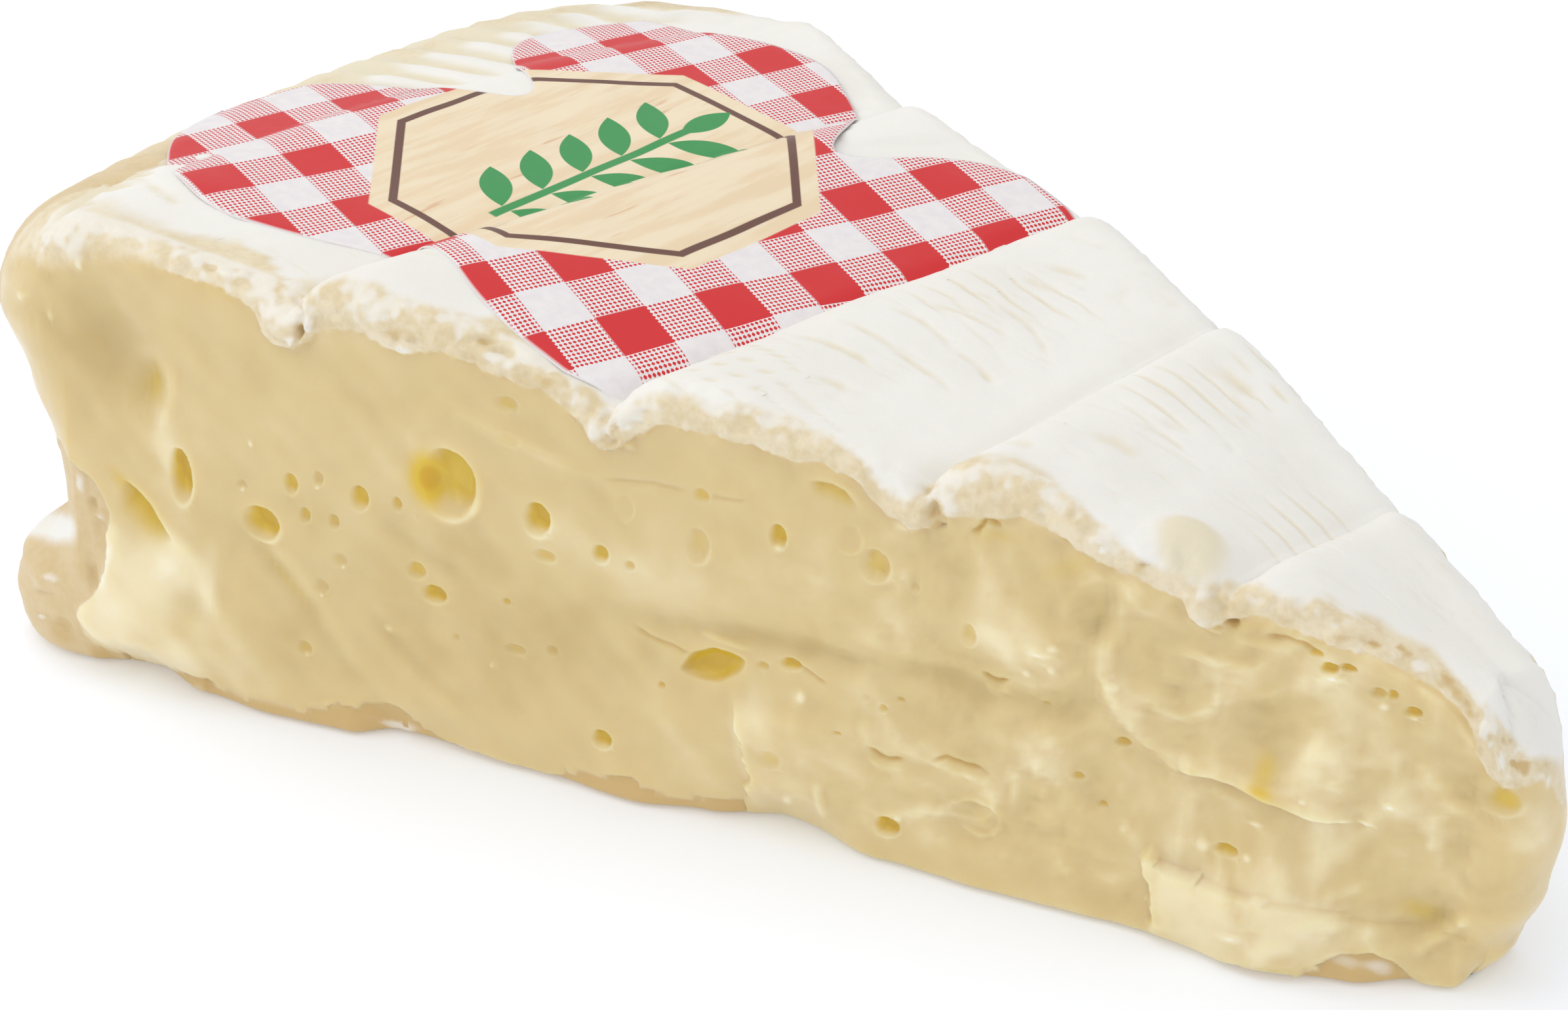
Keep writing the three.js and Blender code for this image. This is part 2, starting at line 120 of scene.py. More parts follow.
# Eyes in the paste: along, height, half length, half height, depth, how golden; the gold is a painted glow of
# light scattered in the paste
NEAR_EYES = [
    (74.6, 20.1, 1.98, 2.3, 0.95, 0.75), (68.6, 18.85, 1, 1.1, 0.55, 0.88),
    (93.9, 16.65, 0.92, 1.95, 0.7, 0.92), (88.2, 14.5, 1.5, 1.15, 0.65, 0.92),
    (85.8, 17.7, 0.58, 0.76, 0.3, 0.6), (83.8, 18.45, 0.42, 0.52, 0.2, 0.3),
    (89.4, 16.9, 0.42, 0.34, 0.12, 0.12), (84.9, 15.7, 0.46, 0.54, 0.22, 0.5),
    (82.9, 15.6, 0.46, 0.54, 0.22, 0.4), (80.95, 17.7, 0.72, 0.84, 0.36, 0.68),
    (78.3, 17.8, 0.42, 0.52, 0.22, 0.5), (76, 12, 0.94, 0.62, 0.45, 0.85),
    (77.2, 13.4, 0.75, 0.6, 0.22, 0.5), (82.6, 13, 0.6, 0.5, 0.12, 0.25),
    (84.1, 10.8, 0.6, 0.5, 0.12, 0.2), (85.7, 5.9, 0.58, 0.52, 0.16, 0.34),
    (74.6, 9.2, 0.3, 0.26, 0.1, 0.25), (70.9, 12.6, 0.34, 0.26, 0.16, 0.5),
    (64.4, 17.35, 0.64, 0.62, 0.3, 0.68), (68.2, 16.4, 0.9, 0.46, 0.16, 0.4),
    (62.4, 17, 0.44, 0.38, 0.14, 0.4), (62.6, 20.9, 0.6, 0.85, 0.08, 0.1),
    (57.9, 19.4, 0.85, 1.15, 0.2, 0.28), (57.7, 22.7, 0.65, 0.5, 0.14, 0.45),
    (52.8, 21, 0.62, 0.86, 0.34, 0.66), (70.4, 26.2, 0.9, 0.5, 0.12, 0.35),
    (70.3, 23.9, 0.9, 0.45, 0.08, 0.15), (46.7, 20.4, 1, 1.05, 0.28, 0.42),
    (44.2, 19.5, 0.35, 0.35, 0.12, 0.15), (48.3, 21.8, 0.8, 0.9, 0.1, 0.1),
    (52, 12.5, 0.75, 0.42, 0.3, 0.8), (53.8, 12, 0.5, 0.3, 0.16, 0.4), (70.5, 9.3, 0.85, 0.38, 0.16, 0.3),
    (67.9, 9.8, 0.45, 0.4, 0.14, 0.25), (64.7, 4.2, 0.74, 0.68, 0.4, 0.75),
    (60.4, 9.2, 0.3, 0.26, 0.16, 0.45), (45.7, 2.75, 0.92, 0.7, 0.42, 0.9),
    (46.05, 10.9, 0.34, 0.3, 0.14, 0.4), (45, 11.7, 0.34, 0.2, 0.12, 0.4),
    (47.1, 11.4, 0.3, 0.3, 0.06, 0.1), (48.9, 8.6, 0.34, 0.18, 0.12, 0.4),
    (53.2, 5.9, 0.8, 0.7, 0.08, 0.3), (40.8, 17.2, 0.6, 0.75, 0.2, 0.35),
    (36, 13.7, 0.36, 0.15, 0.1, 0.35), (33.9, 9.2, 0.45, 0.3, 0.18, 0.5),
    (32.3, 7.65, 0.36, 0.22, 0.14, 0.45), (31.3, 12.2, 0.55, 0.34, 0.2, 0.5),
    (39.9, 4.9, 1.3, 1.2, 0.2, 0.1), (19.8, 19.9, 0.62, 0.42, 0.3, 0.75),
    (18.8, 20.05, 0.6, 0.26, 0.22, 0.72), (20.6, 20.65, 0.55, 0.24, 0.16, 0.55),
    (17, 18.85, 0.55, 0.36, 0.2, 0.42), (16.2, 18.9, 0.4, 0.34, 0.2, 0.62),
    (15, 18.1, 0.6, 0.36, 0.24, 0.6), (19.9, 21.4, 0.7, 0.2, 0.1, 0.3), (24.9, 6.5, 0.85, 0.42, 0.3, 0.62),
    (9.6, 13.8, 1.15, 0.9, 0.4, 0.5),
]
FAR_EYES = [
    (82, 17, 1.5, 1.6, 1.5, 0.8), (70, 11, 1, 1, 1, 0.7), (61, 20, 1.3, 1.5, 1.3, 0.8),
    (40, 15, 1, 0.9, 0.9, 0.7), (90, 12, 0.8, 1.1, 0.7, 0.6), (76, 21, 0.6, 0.7, 0.5, 0.5),
    (73.5, 19.5, 0.45, 0.5, 0.4, 0.4), (66, 15, 0.5, 0.5, 0.4, 0.4), (53, 16, 0.7, 0.6, 0.6, 0.5),
    (50, 18.2, 0.4, 0.4, 0.3, 0.4), (46, 9, 0.6, 0.7, 0.5, 0.5), (33, 17, 0.5, 0.4, 0.4, 0.5),
    (28, 9, 0.6, 0.5, 0.4, 0.5),
]
# The steep side of an eye looks up and towards the tip, and its lip, which gets a painted highlight, lies low
# towards the tip
STEEP_SIDE = np.array([-0.8, 0.6])
LIP_SIDE = np.array([-0.5, -0.87])
LIP_HEIGHT = 0.1

# Painted golden glow of light scattered through the paste in its hollows and valleys: along, height, half
# length, half height, turn, amount
GLOW_PATCHES = [
    (76, 20, 1.2, 1.7, 0, 1.1), (95.9, 22.3, 0.9, 1.5, 10, 0.42), (98.4, 15.2, 1.6, 0.7, 45, 0.35),
    (22.9, 11.4, 0.9, 0.6, 15, 0.55), (22.8, 12.6, 0.8, 1.4, 10, 0.42), (13.4, 5, 1.5, 0.9, 25, 0.4),
    (33, 20.2, 0.5, 1.5, 0, 0.18), (31, 18.7, 3, 0.8, -25, 0.1), (34.8, 23, 2.6, 0.8, -33, 0.24),
    (39.2, 23.9, 1.6, 0.5, -10, 0.25), (24.5, 21.4, 1.6, 0.4, -20, 0.2), (93.5, 1.6, 0.9, 0.35, 0, 0.2),
    (94.3, 6, 1.8, 1, -20, 0.12), (86.6, 10.7, 3.2, 0.6, 48, 0.28), (102, 2.4, 1.4, 0.6, -10, 0.15),
]
# Paler and deeper patches of the paste, partly its own tone and partly painted highlights on bulges and painted
# shade in hollows: along, height, half length, half height, turn, amount
TONE_AND_LIGHT_PATCHES = [
    (99.3, 25.4, 3.6, 4.6, 15, -0.6), (103.2, 28.5, 1.6, 1.6, 0, -0.3), (97.5, 8, 5.5, 5.5, 0, 0.6),
    (95.1, 10.2, 2.5, 1.8, -20, 0.75), (94.9, 18.6, 1, 3.2, -12, 0.55), (100.4, 8.6, 0.9, 3, 15, 0.7),
    (94.6, 6, 3.4, 2, -20, -0.35), (91, 3, 6, 1.6, 0, 0.2), (92.4, 9.4, 0.7, 3.4, 12, 0.5),
    (84.5, 12.6, 1.2, 5, 35, 0.25), (74, 12, 7, 6, 0, -0.45), (71, 6, 5, 3, 0, -0.15),
    (61, 16.5, 5, 3.2, 0, 0.35), (66.5, 26, 5, 1.4, -25, -0.2), (60, 4.5, 5, 3, 0, 0.15),
    (53, 17.5, 4, 2.2, 0, 0.25), (49.5, 13.9, 9, 0.8, -1, -0.45), (37, 13.2, 6, 1.6, -3, -0.3),
    (38.2, 17.6, 2.6, 2.2, 20, 0.4), (43, 22, 3, 1.2, 0, -0.3), (34.9, 19.3, 1.2, 2.6, 10, -0.35),
    (26.2, 13, 1.4, 1.4, 0, -0.4), (22.8, 14.8, 2.2, 3, 10, -0.65), (18.9, 14.4, 2.4, 2.8, -20, 0.2),
    (27, 4.2, 2, 2.6, 0, 0.4), (21.5, 0.9, 1.7, 0.8, -25, 0.3), (41, 4.4, 1.6, 1.4, 0, -0.15),
    (54.2, 9.3, 1.3, 1.6, 0, 0.6), (51.4, 10.3, 0.6, 0.6, 0, 0.4), (54, 6, 3, 3, 0, 0.15),
    (17, 7, 4, 3, 0, -0.3), (11.8, 8, 2.4, 2.4, 0, 0.05), (20, 2.8, 1.6, 1, 0, 0.15),
    (30.6, 10.2, 1.3, 2.4, 0, 0.25), (24.5, 9, 3.4, 1.4, -8, 0.35), (13.5, 11.5, 1.2, 2.2, -25, 0.3),
    (7.8, 12.6, 1.4, 2, 0, 0.7), (99.8, 5.5, 1.6, 1.8, 0, 0.9), (34.5, 21.5, 1.4, 1.4, 0, -0.5),
    (13.1, 15.9, 1.5, 1.5, 0, 0.45), (31.2, 1, 3, 1.2, 0, -0.5), (86.4, 5.1, 2.5, 2.5, 0, -0.5),
    (96, 2.9, 2, 1.4, 0, 0.5), (33.5, 4.8, 4, 2.4, 0, -0.2), (45, 17.3, 3, 1.6, 0, 0.1),
    (22, 5, 3.4, 2, 0, -0.2),
]

# Round hollows and mounds of the near cut: along, height, half length, half height, turn in degrees, out
NEAR_MOUNDS = [
    (98.6, 24.4, 3.2, 4.4, 0, -1.2), (96, 22.4, 1, 1.6, 10, -0.9), (94.6, 10.4, 2.4, 1.7, -30, 0.5),
    (98, 6, 4.5, 3.6, 0, 0.7), (94.5, 6.9, 2.2, 1.6, -20, -0.35), (90.6, 7.5, 2.2, 4, 20, 0.3),
    (86, 13.5, 2, 2.5, 30, 0.3), (56.6, 17, 4.5, 3, 0, 0.3), (52.5, 8.4, 3, 2.4, 0, 0.4),
    (58.5, 7.4, 3, 2, 20, 0.3), (37.2, 17.9, 3.2, 2.4, 25, 0.8), (30.7, 22, 1.4, 1.2, 0, 0.3),
    (36.3, 11.6, 2.5, 2, 0, 0.3), (27.2, 17.6, 1.4, 1.2, -10, -0.4), (24.2, 14.2, 3, 2.6, 0, -0.7),
    (19.2, 14.2, 2.8, 3.4, -20, 0.5), (12.9, 5, 2, 1.5, 30, -0.9), (24, 3.5, 4, 2.6, 0, 0.4),
    (41.2, 4.4, 1.3, 1.4, 0, -0.5),
]
# Drawn ridges and grooves of the near cut: how far out, half width, points
NEAR_STROKES = [
    (0.2, 0.4, [(93.9, 24.4), (93.9, 22.4), (94.7, 20.6), (95.4, 19.4)]),
    (0.3, 0.5, [(101.1, 7.2), (100.2, 8.8), (99.6, 10.4), (99.2, 12.2)]),
    (0.3, 0.55, [(102.2, 5.8), (102.4, 4.4), (101.7, 3.4), (100.2, 2.7)]),
    (0.25, 0.6, [(96.3, 13.9), (94.7, 12), (92.9, 10.5), (92.2, 8.1), (91.9, 6.3)]),
    (-0.34, 0.95, [(89.4, 13.9), (87.9, 12.3), (86.6, 10.7), (85.6, 9.6), (84.1, 7.4), (82.6, 5),
        (80.1, 3.2)]),
    (0.14, 0.8, [(88.2, 14), (86.3, 12), (84.6, 10), (83, 7.2), (81.4, 4.6)]),
    (-0.25, 0.8, [(80.8, 9.8), (78.8, 7.4), (75.1, 4.6)]),
    (0.2, 0.7, [(79, 7.2), (76.4, 5), (74, 2.9)]),
    (0.25, 0.6, [(74.5, 25.6), (70.7, 24.1), (66.8, 23), (63.8, 22.3)]),
    (-0.2, 0.6, [(79.8, 16.6), (77, 15), (74, 13.6)]),
    (-0.4, 0.9, [(66, 13.6), (60, 13.6), (54.9, 14.1), (48, 13.7), (42, 14.1), (37.5, 13.8)]),
    (0.3, 0.4, [(55.6, 9.8), (55.4, 7.6), (55, 4.6), (54, 2.6)]),
    (0.4, 0.28, [(50.2, 5), (50, 3.6), (49.6, 2.4)]),
    (0.2, 0.35, [(47.2, 10), (47, 8.9), (46.9, 8)]),
    (0.2, 0.24, [(42.5, 3.9), (42.3, 4.6), (41.5, 5.4), (40.4, 5.9), (38.8, 5.9)]),
    (0.5, 0.5, [(31.6, 19.6), (32.6, 17.8), (32.6, 16.5), (32.2, 15.2), (31.2, 14.1), (30.4, 12.9)]),
    (-0.35, 0.5, [(32.4, 22), (32.6, 20.9), (33.1, 19.6), (33.5, 18.1)]),
    (0.35, 0.34, [(28.5, 18.9), (26.4, 18.9), (24.6, 18.9), (23.2, 19.4)]),
    (0.3, 0.34, [(30.1, 15.6), (29, 14.9), (27.6, 14.8), (26.2, 15.8), (25.6, 17.3)]),
    (-0.3, 0.4, [(29.7, 17.9), (29.4, 16.8), (28.2, 16.2), (27, 16.6)]),
    (0.25, 0.3, [(25.2, 20.4), (23.4, 20.6), (21.8, 20.6)]),
    (0.45, 0.8, [(21.4, 11.6), (20.8, 13.4), (20.2, 14.8), (18.9, 16.2)]),
    (0.3, 0.5, [(14.6, 15.8), (13.6, 14.2), (12.5, 13.1), (11, 12.2), (9.9, 11.6), (8.7, 11.4),
        (7.6, 12.2)]),
    (0.2, 0.3, [(10.9, 11.1), (9.5, 10.6), (7.9, 11.1), (6.8, 12.4)]),
    (0.6, 0.42, [(13.6, 2.4), (12.2, 3.9), (11.1, 5.2), (10.3, 6)]),
    (0.4, 0.6, [(22.7, -0.4), (21.8, 0.6), (20, 1.5)]),
    (0.3, 0.6, [(20.8, 2.2), (19.2, 3), (17.4, 3.2)]),
    (0.25, 0.22, [(31.1, 8), (31, 6.8), (30.4, 5.6)]),
    (0.2, 0.25, [(36.5, 10.4), (36.2, 8.6), (35.9, 7)]),
    (0.2, 0.25, [(37.9, 8.8), (37.7, 7.6), (37.6, 6.2)]),
    (0.2, 0.25, [(34.4, 8.2), (34.4, 7), (34.2, 5.6)]),
    (0.25, 0.22, [(57.8, 13.4), (55.8, 13.1), (54.4, 12.9)]),
    (0.2, 0.2, [(46.9, 7.2), (45.8, 6.9), (44.6, 7.1)]),
    (0.2, 0.2, [(40.9, 7.7), (40, 7.5), (39, 7.5)]),
    (0.24, 0.22, [(39.8, 14), (38.9, 13.8), (38, 14.1)]),
    (0.2, 0.2, [(20.6, 19.2), (19.4, 19.2), (18.5, 19.5)]),
]
# Thin cracks where the paste tore: depth, half width, points
NEAR_CRACKS = [
    (-0.12, 0.16, [(64, 22.5), (61.3, 22.8), (59.9, 22.8), (58.4, 22.7)]),
    (-0.12, 0.16, [(57.2, 22.7), (56.4, 22.8), (54.7, 22.9)]),
    (-0.2, 0.16, [(62.4, 12.9), (61.3, 12.3), (60.3, 12.1), (58.4, 11.7)]),
    (-0.2, 0.16, [(51.5, 12.5), (50.8, 12.2), (50.3, 12), (49.6, 11.7)]),
    (-0.32, 0.16, [(46.9, 8.05), (46.2, 7.6), (45.6, 7.5), (44.6, 7.7)]),
    (-0.3, 0.16, [(42.9, 8.05), (41.9, 8.5), (40.8, 8.3), (39.5, 8.1)]),
    (-0.34, 0.16, [(39.9, 14.8), (39.3, 14.5), (38.9, 14.5), (38.2, 14.75)]),
    (-0.4, 0.2, [(40.8, 23.8), (40.2, 24.4), (39.9, 24.8), (39.5, 24.7), (39.1, 24.5)]),
    (-0.25, 0.15, [(23.4, 21), (22.4, 21.15), (21.4, 21.1), (20.4, 20.7)]),
]
# Hollows, crisp on the right where their points run down: depth, width, painted golden glow, points
NEAR_GOUGES = [
    (0.95, 1.9, 0.85, [(98.3, 15.5), (97.4, 15), (96.4, 14.1), (95.8, 13.2), (95.2, 12.5), (94.3, 11.7)]),
    (0.35, 0.9, 0.55, [(50.9, 25.2), (49.4, 25.2), (48.6, 24.9), (47.9, 24.2), (47.5, 23.5)]),
]
# Torn steps, raised on the left of the way they run: out, fade length, points
NEAR_STEPS = [
    (1, 7, [(29.4, -0.4), (28.7, 1.2), (29, 2.7), (29.2, 4), (29.6, 5.3), (28.8, 6)]),
    (0.6, 5, [(54.9, 1.8), (54.5, 4.4), (55.2, 7.4), (55.5, 9.6)]),
    (1, 5, [(17.2, 10.4), (19.5, 10.3), (22.6, 10.6), (24.7, 11.2), (26, 11.4), (27.9, 11.3),
        (28.6, 10.4)]),
]
# The torn hollow in the middle: along, height, half length, half height, turn and depth
TORN_HOLLOW = (57, 11.3, 2.3, 1.2, -10, 0.8)
# Small raised grains on the wet paste, each with a painted highlight: along, height, half length, half height
GLINTS = [
    (36.2, 17.3, 0.6, 0.2), (35.5, 17.8, 0.34, 0.22), (35.6, 16.2, 0.2, 0.26), (31.9, 15.9, 0.35, 0.3),
    (52, 3.2, 0.3, 0.3), (51.2, 10.5, 0.25, 0.35), (44.9, 3.5, 0.2, 0.2), (89.3, 16.6, 0.16, 0.16),
    (83.8, 17.85, 0.16, 0.16), (82.3, 12.6, 0.13, 0.13), (84, 10.2, 0.12, 0.12), (85.5, 5.5, 0.13, 0.13),
    (79.4, 8.7, 0.3, 0.25), (72.1, 7.8, 0.14, 0.16), (76.9, 17.2, 0.1, 0.1), (88.4, 20, 0.16, 0.26),
    (52.7, 20.3, 0.25, 0.16), (26.1, 6.5, 0.45, 0.4), (23.5, 6.4, 0.24, 0.24), (23.2, 8.7, 0.35, 0.16),
    (15.6, 12, 0.3, 0.2), (16.9, 10.6, 0.35, 0.14), (18.2, 10.5, 0.3, 0.12), (20.4, 11.5, 0.2, 0.16),
    (16.5, 18.2, 0.25, 0.2), (14.8, 17.8, 0.35, 0.14), (19.4, 19.4, 0.35, 0.12), (102.9, 29.9, 0.2, 0.2),
    (102.2, 31.3, 0.25, 0.2), (99.8, 30.1, 0.2, 0.45), (104.5, 27.2, 0.3, 0.4), (102.6, 26.1, 0.2, 0.35),
    (24, 1, 0.6, 0.3), (37.1, 15.6, 0.26, 0.26),
]

# Lower edge of the cut rind under the top: along, height
BAND_EDGE = [
    (4, 16.2), (6.9, 16.1), (7.7, 15.7), (8.5, 14.9), (9.6, 14.6), (10.6, 15.1), (11.2, 16.4),
    (11.7, 17.8), (12.4, 19), (13.4, 19.6), (14.8, 20.3), (15.9, 20.7), (17.4, 21.1), (18.6, 21.1),
    (20.4, 21.4), (21.6, 21.7), (23.3, 22.1), (24.6, 22.1), (25.7, 21.3), (26.7, 20.9), (27.7, 21.5),
    (28.2, 22.3), (29.2, 22.7), (31, 23.1), (32.5, 23.4), (33.8, 23.8), (35, 24.4), (36.3, 25.2),
    (37.9, 25.4), (39.4, 24.9), (40.9, 24.8), (42.4, 24.5), (43.2, 23.7), (44.5, 23.3), (46, 23.8),
    (46.9, 24.6), (48, 25.8), (49.7, 26.3), (51.9, 26.2), (54.1, 26.6), (57, 26.9), (59.8, 26.9),
    (60.6, 26.5), (61.8, 25.8), (62.9, 24.7), (64.4, 24.7), (65.3, 26), (66.2, 26.9), (67.9, 27.6),
    (69.4, 27.8), (71.1, 28.2), (72.9, 28.7), (75.2, 28.8), (77.3, 28.3), (79.3, 28.8), (80.9, 29.3),
    (82.9, 28.6), (83.8, 27.7), (84.5, 27.3), (85.4, 27.3), (86.7, 27.9), (87.2, 29), (88.1, 29.8),
    (89.7, 30.3), (91.7, 30.6), (94.1, 30.9), (96.4, 30.9), (98.6, 30.4), (100.9, 29.6), (104, 29.4),
]
# Where the white mould of the top begins, seen from the front: along, height
BLOOM_EDGE = [
    (2, 17.5), (7.1, 17), (8.4, 16.6), (9.3, 17.2), (10.3, 18.5), (11.8, 19.6), (13.2, 20.8), (14.5, 22.2),
    (16.5, 22.8), (17.9, 23.3), (19.1, 23.4), (20.3, 23.8), (22.2, 23.4), (24.2, 23.8), (25.9, 23.4),
    (27.3, 23.1), (28.5, 23.2), (30.3, 23.8), (31.8, 24.5), (33.6, 25.7), (35.2, 27), (36.7, 28.2),
    (38.2, 28.8), (40.2, 28.4), (42.2, 27.3), (43.2, 26.4), (43.9, 25.6), (44.7, 24.8), (46.1, 25.4),
    (47.5, 26.8), (49.7, 28), (51.9, 28.6), (54.1, 28.7), (56.9, 28.4), (59.8, 28.3), (61.8, 27.8),
    (62.6, 27.2), (63.4, 27.2), (64.6, 28.1), (66.3, 28.9), (68, 30.2), (69, 31), (70.5, 31.4), (72.3, 31),
    (74.5, 31.1), (76.6, 31.5), (78.1, 31.7), (80.4, 31.9), (82.8, 31.5), (84, 31.2), (84.7, 30.9),
    (85.4, 31.7), (86.3, 32.7), (88.3, 33.3), (90.4, 33.2), (92.8, 33), (94.9, 33.1), (96.4, 33.2),
    (97.9, 33.2), (99.5, 32.6), (103, 31.6),
]
FOOT_EDGE = [
    (8, 0), (13.1, 0), (13.5, 0.8), (14.5, 1.6), (15.8, 2), (17.7, 1.3), (19.2, 0.2), (20, -1), (54, -1),
    (54.8, 1.4), (55.2, 2.4), (57.2, 1.8), (59.5, 1.2), (61.8, 1.4), (62.7, 2), (66.4, 1.4), (68.5, 0.5),
    (73, 0.8), (75.1, 1.2), (77.2, 1.9), (78.2, 2.7), (80, 3.1), (81.7, 2.8), (82.2, 2.1), (83.6, 2.5),
    (84.7, 1.7), (87, 1), (90.5, 0.8), (92.5, 1.2), (93.4, 1.7), (94.7, 1.9), (96.6, 2.1), (98.6, 2.1),
    (99.8, 2.5),
]
# Edge between the paste and the rind round the near corner, at each height
SIDE_EDGE = [
    (0, 99), (2.1, 99.4), (2.3, 101.8), (3.2, 102.6), (4.8, 102.9), (5.6, 102.2), (6.3, 101.5),
    (7.6, 100.6), (9, 100.1), (10.6, 99.9), (11.8, 99.7), (13, 99.7), (13.8, 99.9), (14.8, 100.6),
    (16, 102.3), (18, 103.4), (20.5, 105), (24, 106.2), (28, 106.6), (31, 105), (33, 103),
]
# Place in front of the cut from which the forms on it were measured: along, in front of it and up
MEASURED_FROM = (-13.7, 154.2, 112)
# Folds where the rind curls down: along, height, half length, half height, turn, out
CURLS = [
    (84.9, 28.3, 1.7, 1.3, 0, 0.9), (63.3, 25.7, 1.5, 1.3, 0, 0.9), (43.9, 24.3, 1.5, 1.3, 0, 0.6),
    (26.6, 21.7, 1.2, 1.1, 0, 0.6),
]
CURL_FOLDS = [
    (-0.35, 0.28, [(84.6, 31.4), (84.2, 30.4), (83.7, 29.4), (83.8, 28.7), (84.5, 28.2)]),
    (-0.22, 0.22, [(86.4, 28.6), (85.9, 28.1), (84.9, 27.9), (83.9, 28.3)]),
    (-0.35, 0.26, [(63.3, 27.3), (63.5, 26.6), (63.4, 25.9), (62.9, 25.5), (62.5, 25.9)]),
    (-0.2, 0.22, [(62.6, 26.3), (61.8, 26.9), (61, 26.8)]),
    (-0.4, 0.35, [(43.9, 26.4), (43.5, 25.6), (43.1, 24.9), (42.9, 24.4)]),
    (-0.3, 0.25, [(26.1, 24), (26.4, 22.9), (25.6, 21.9)]),
]
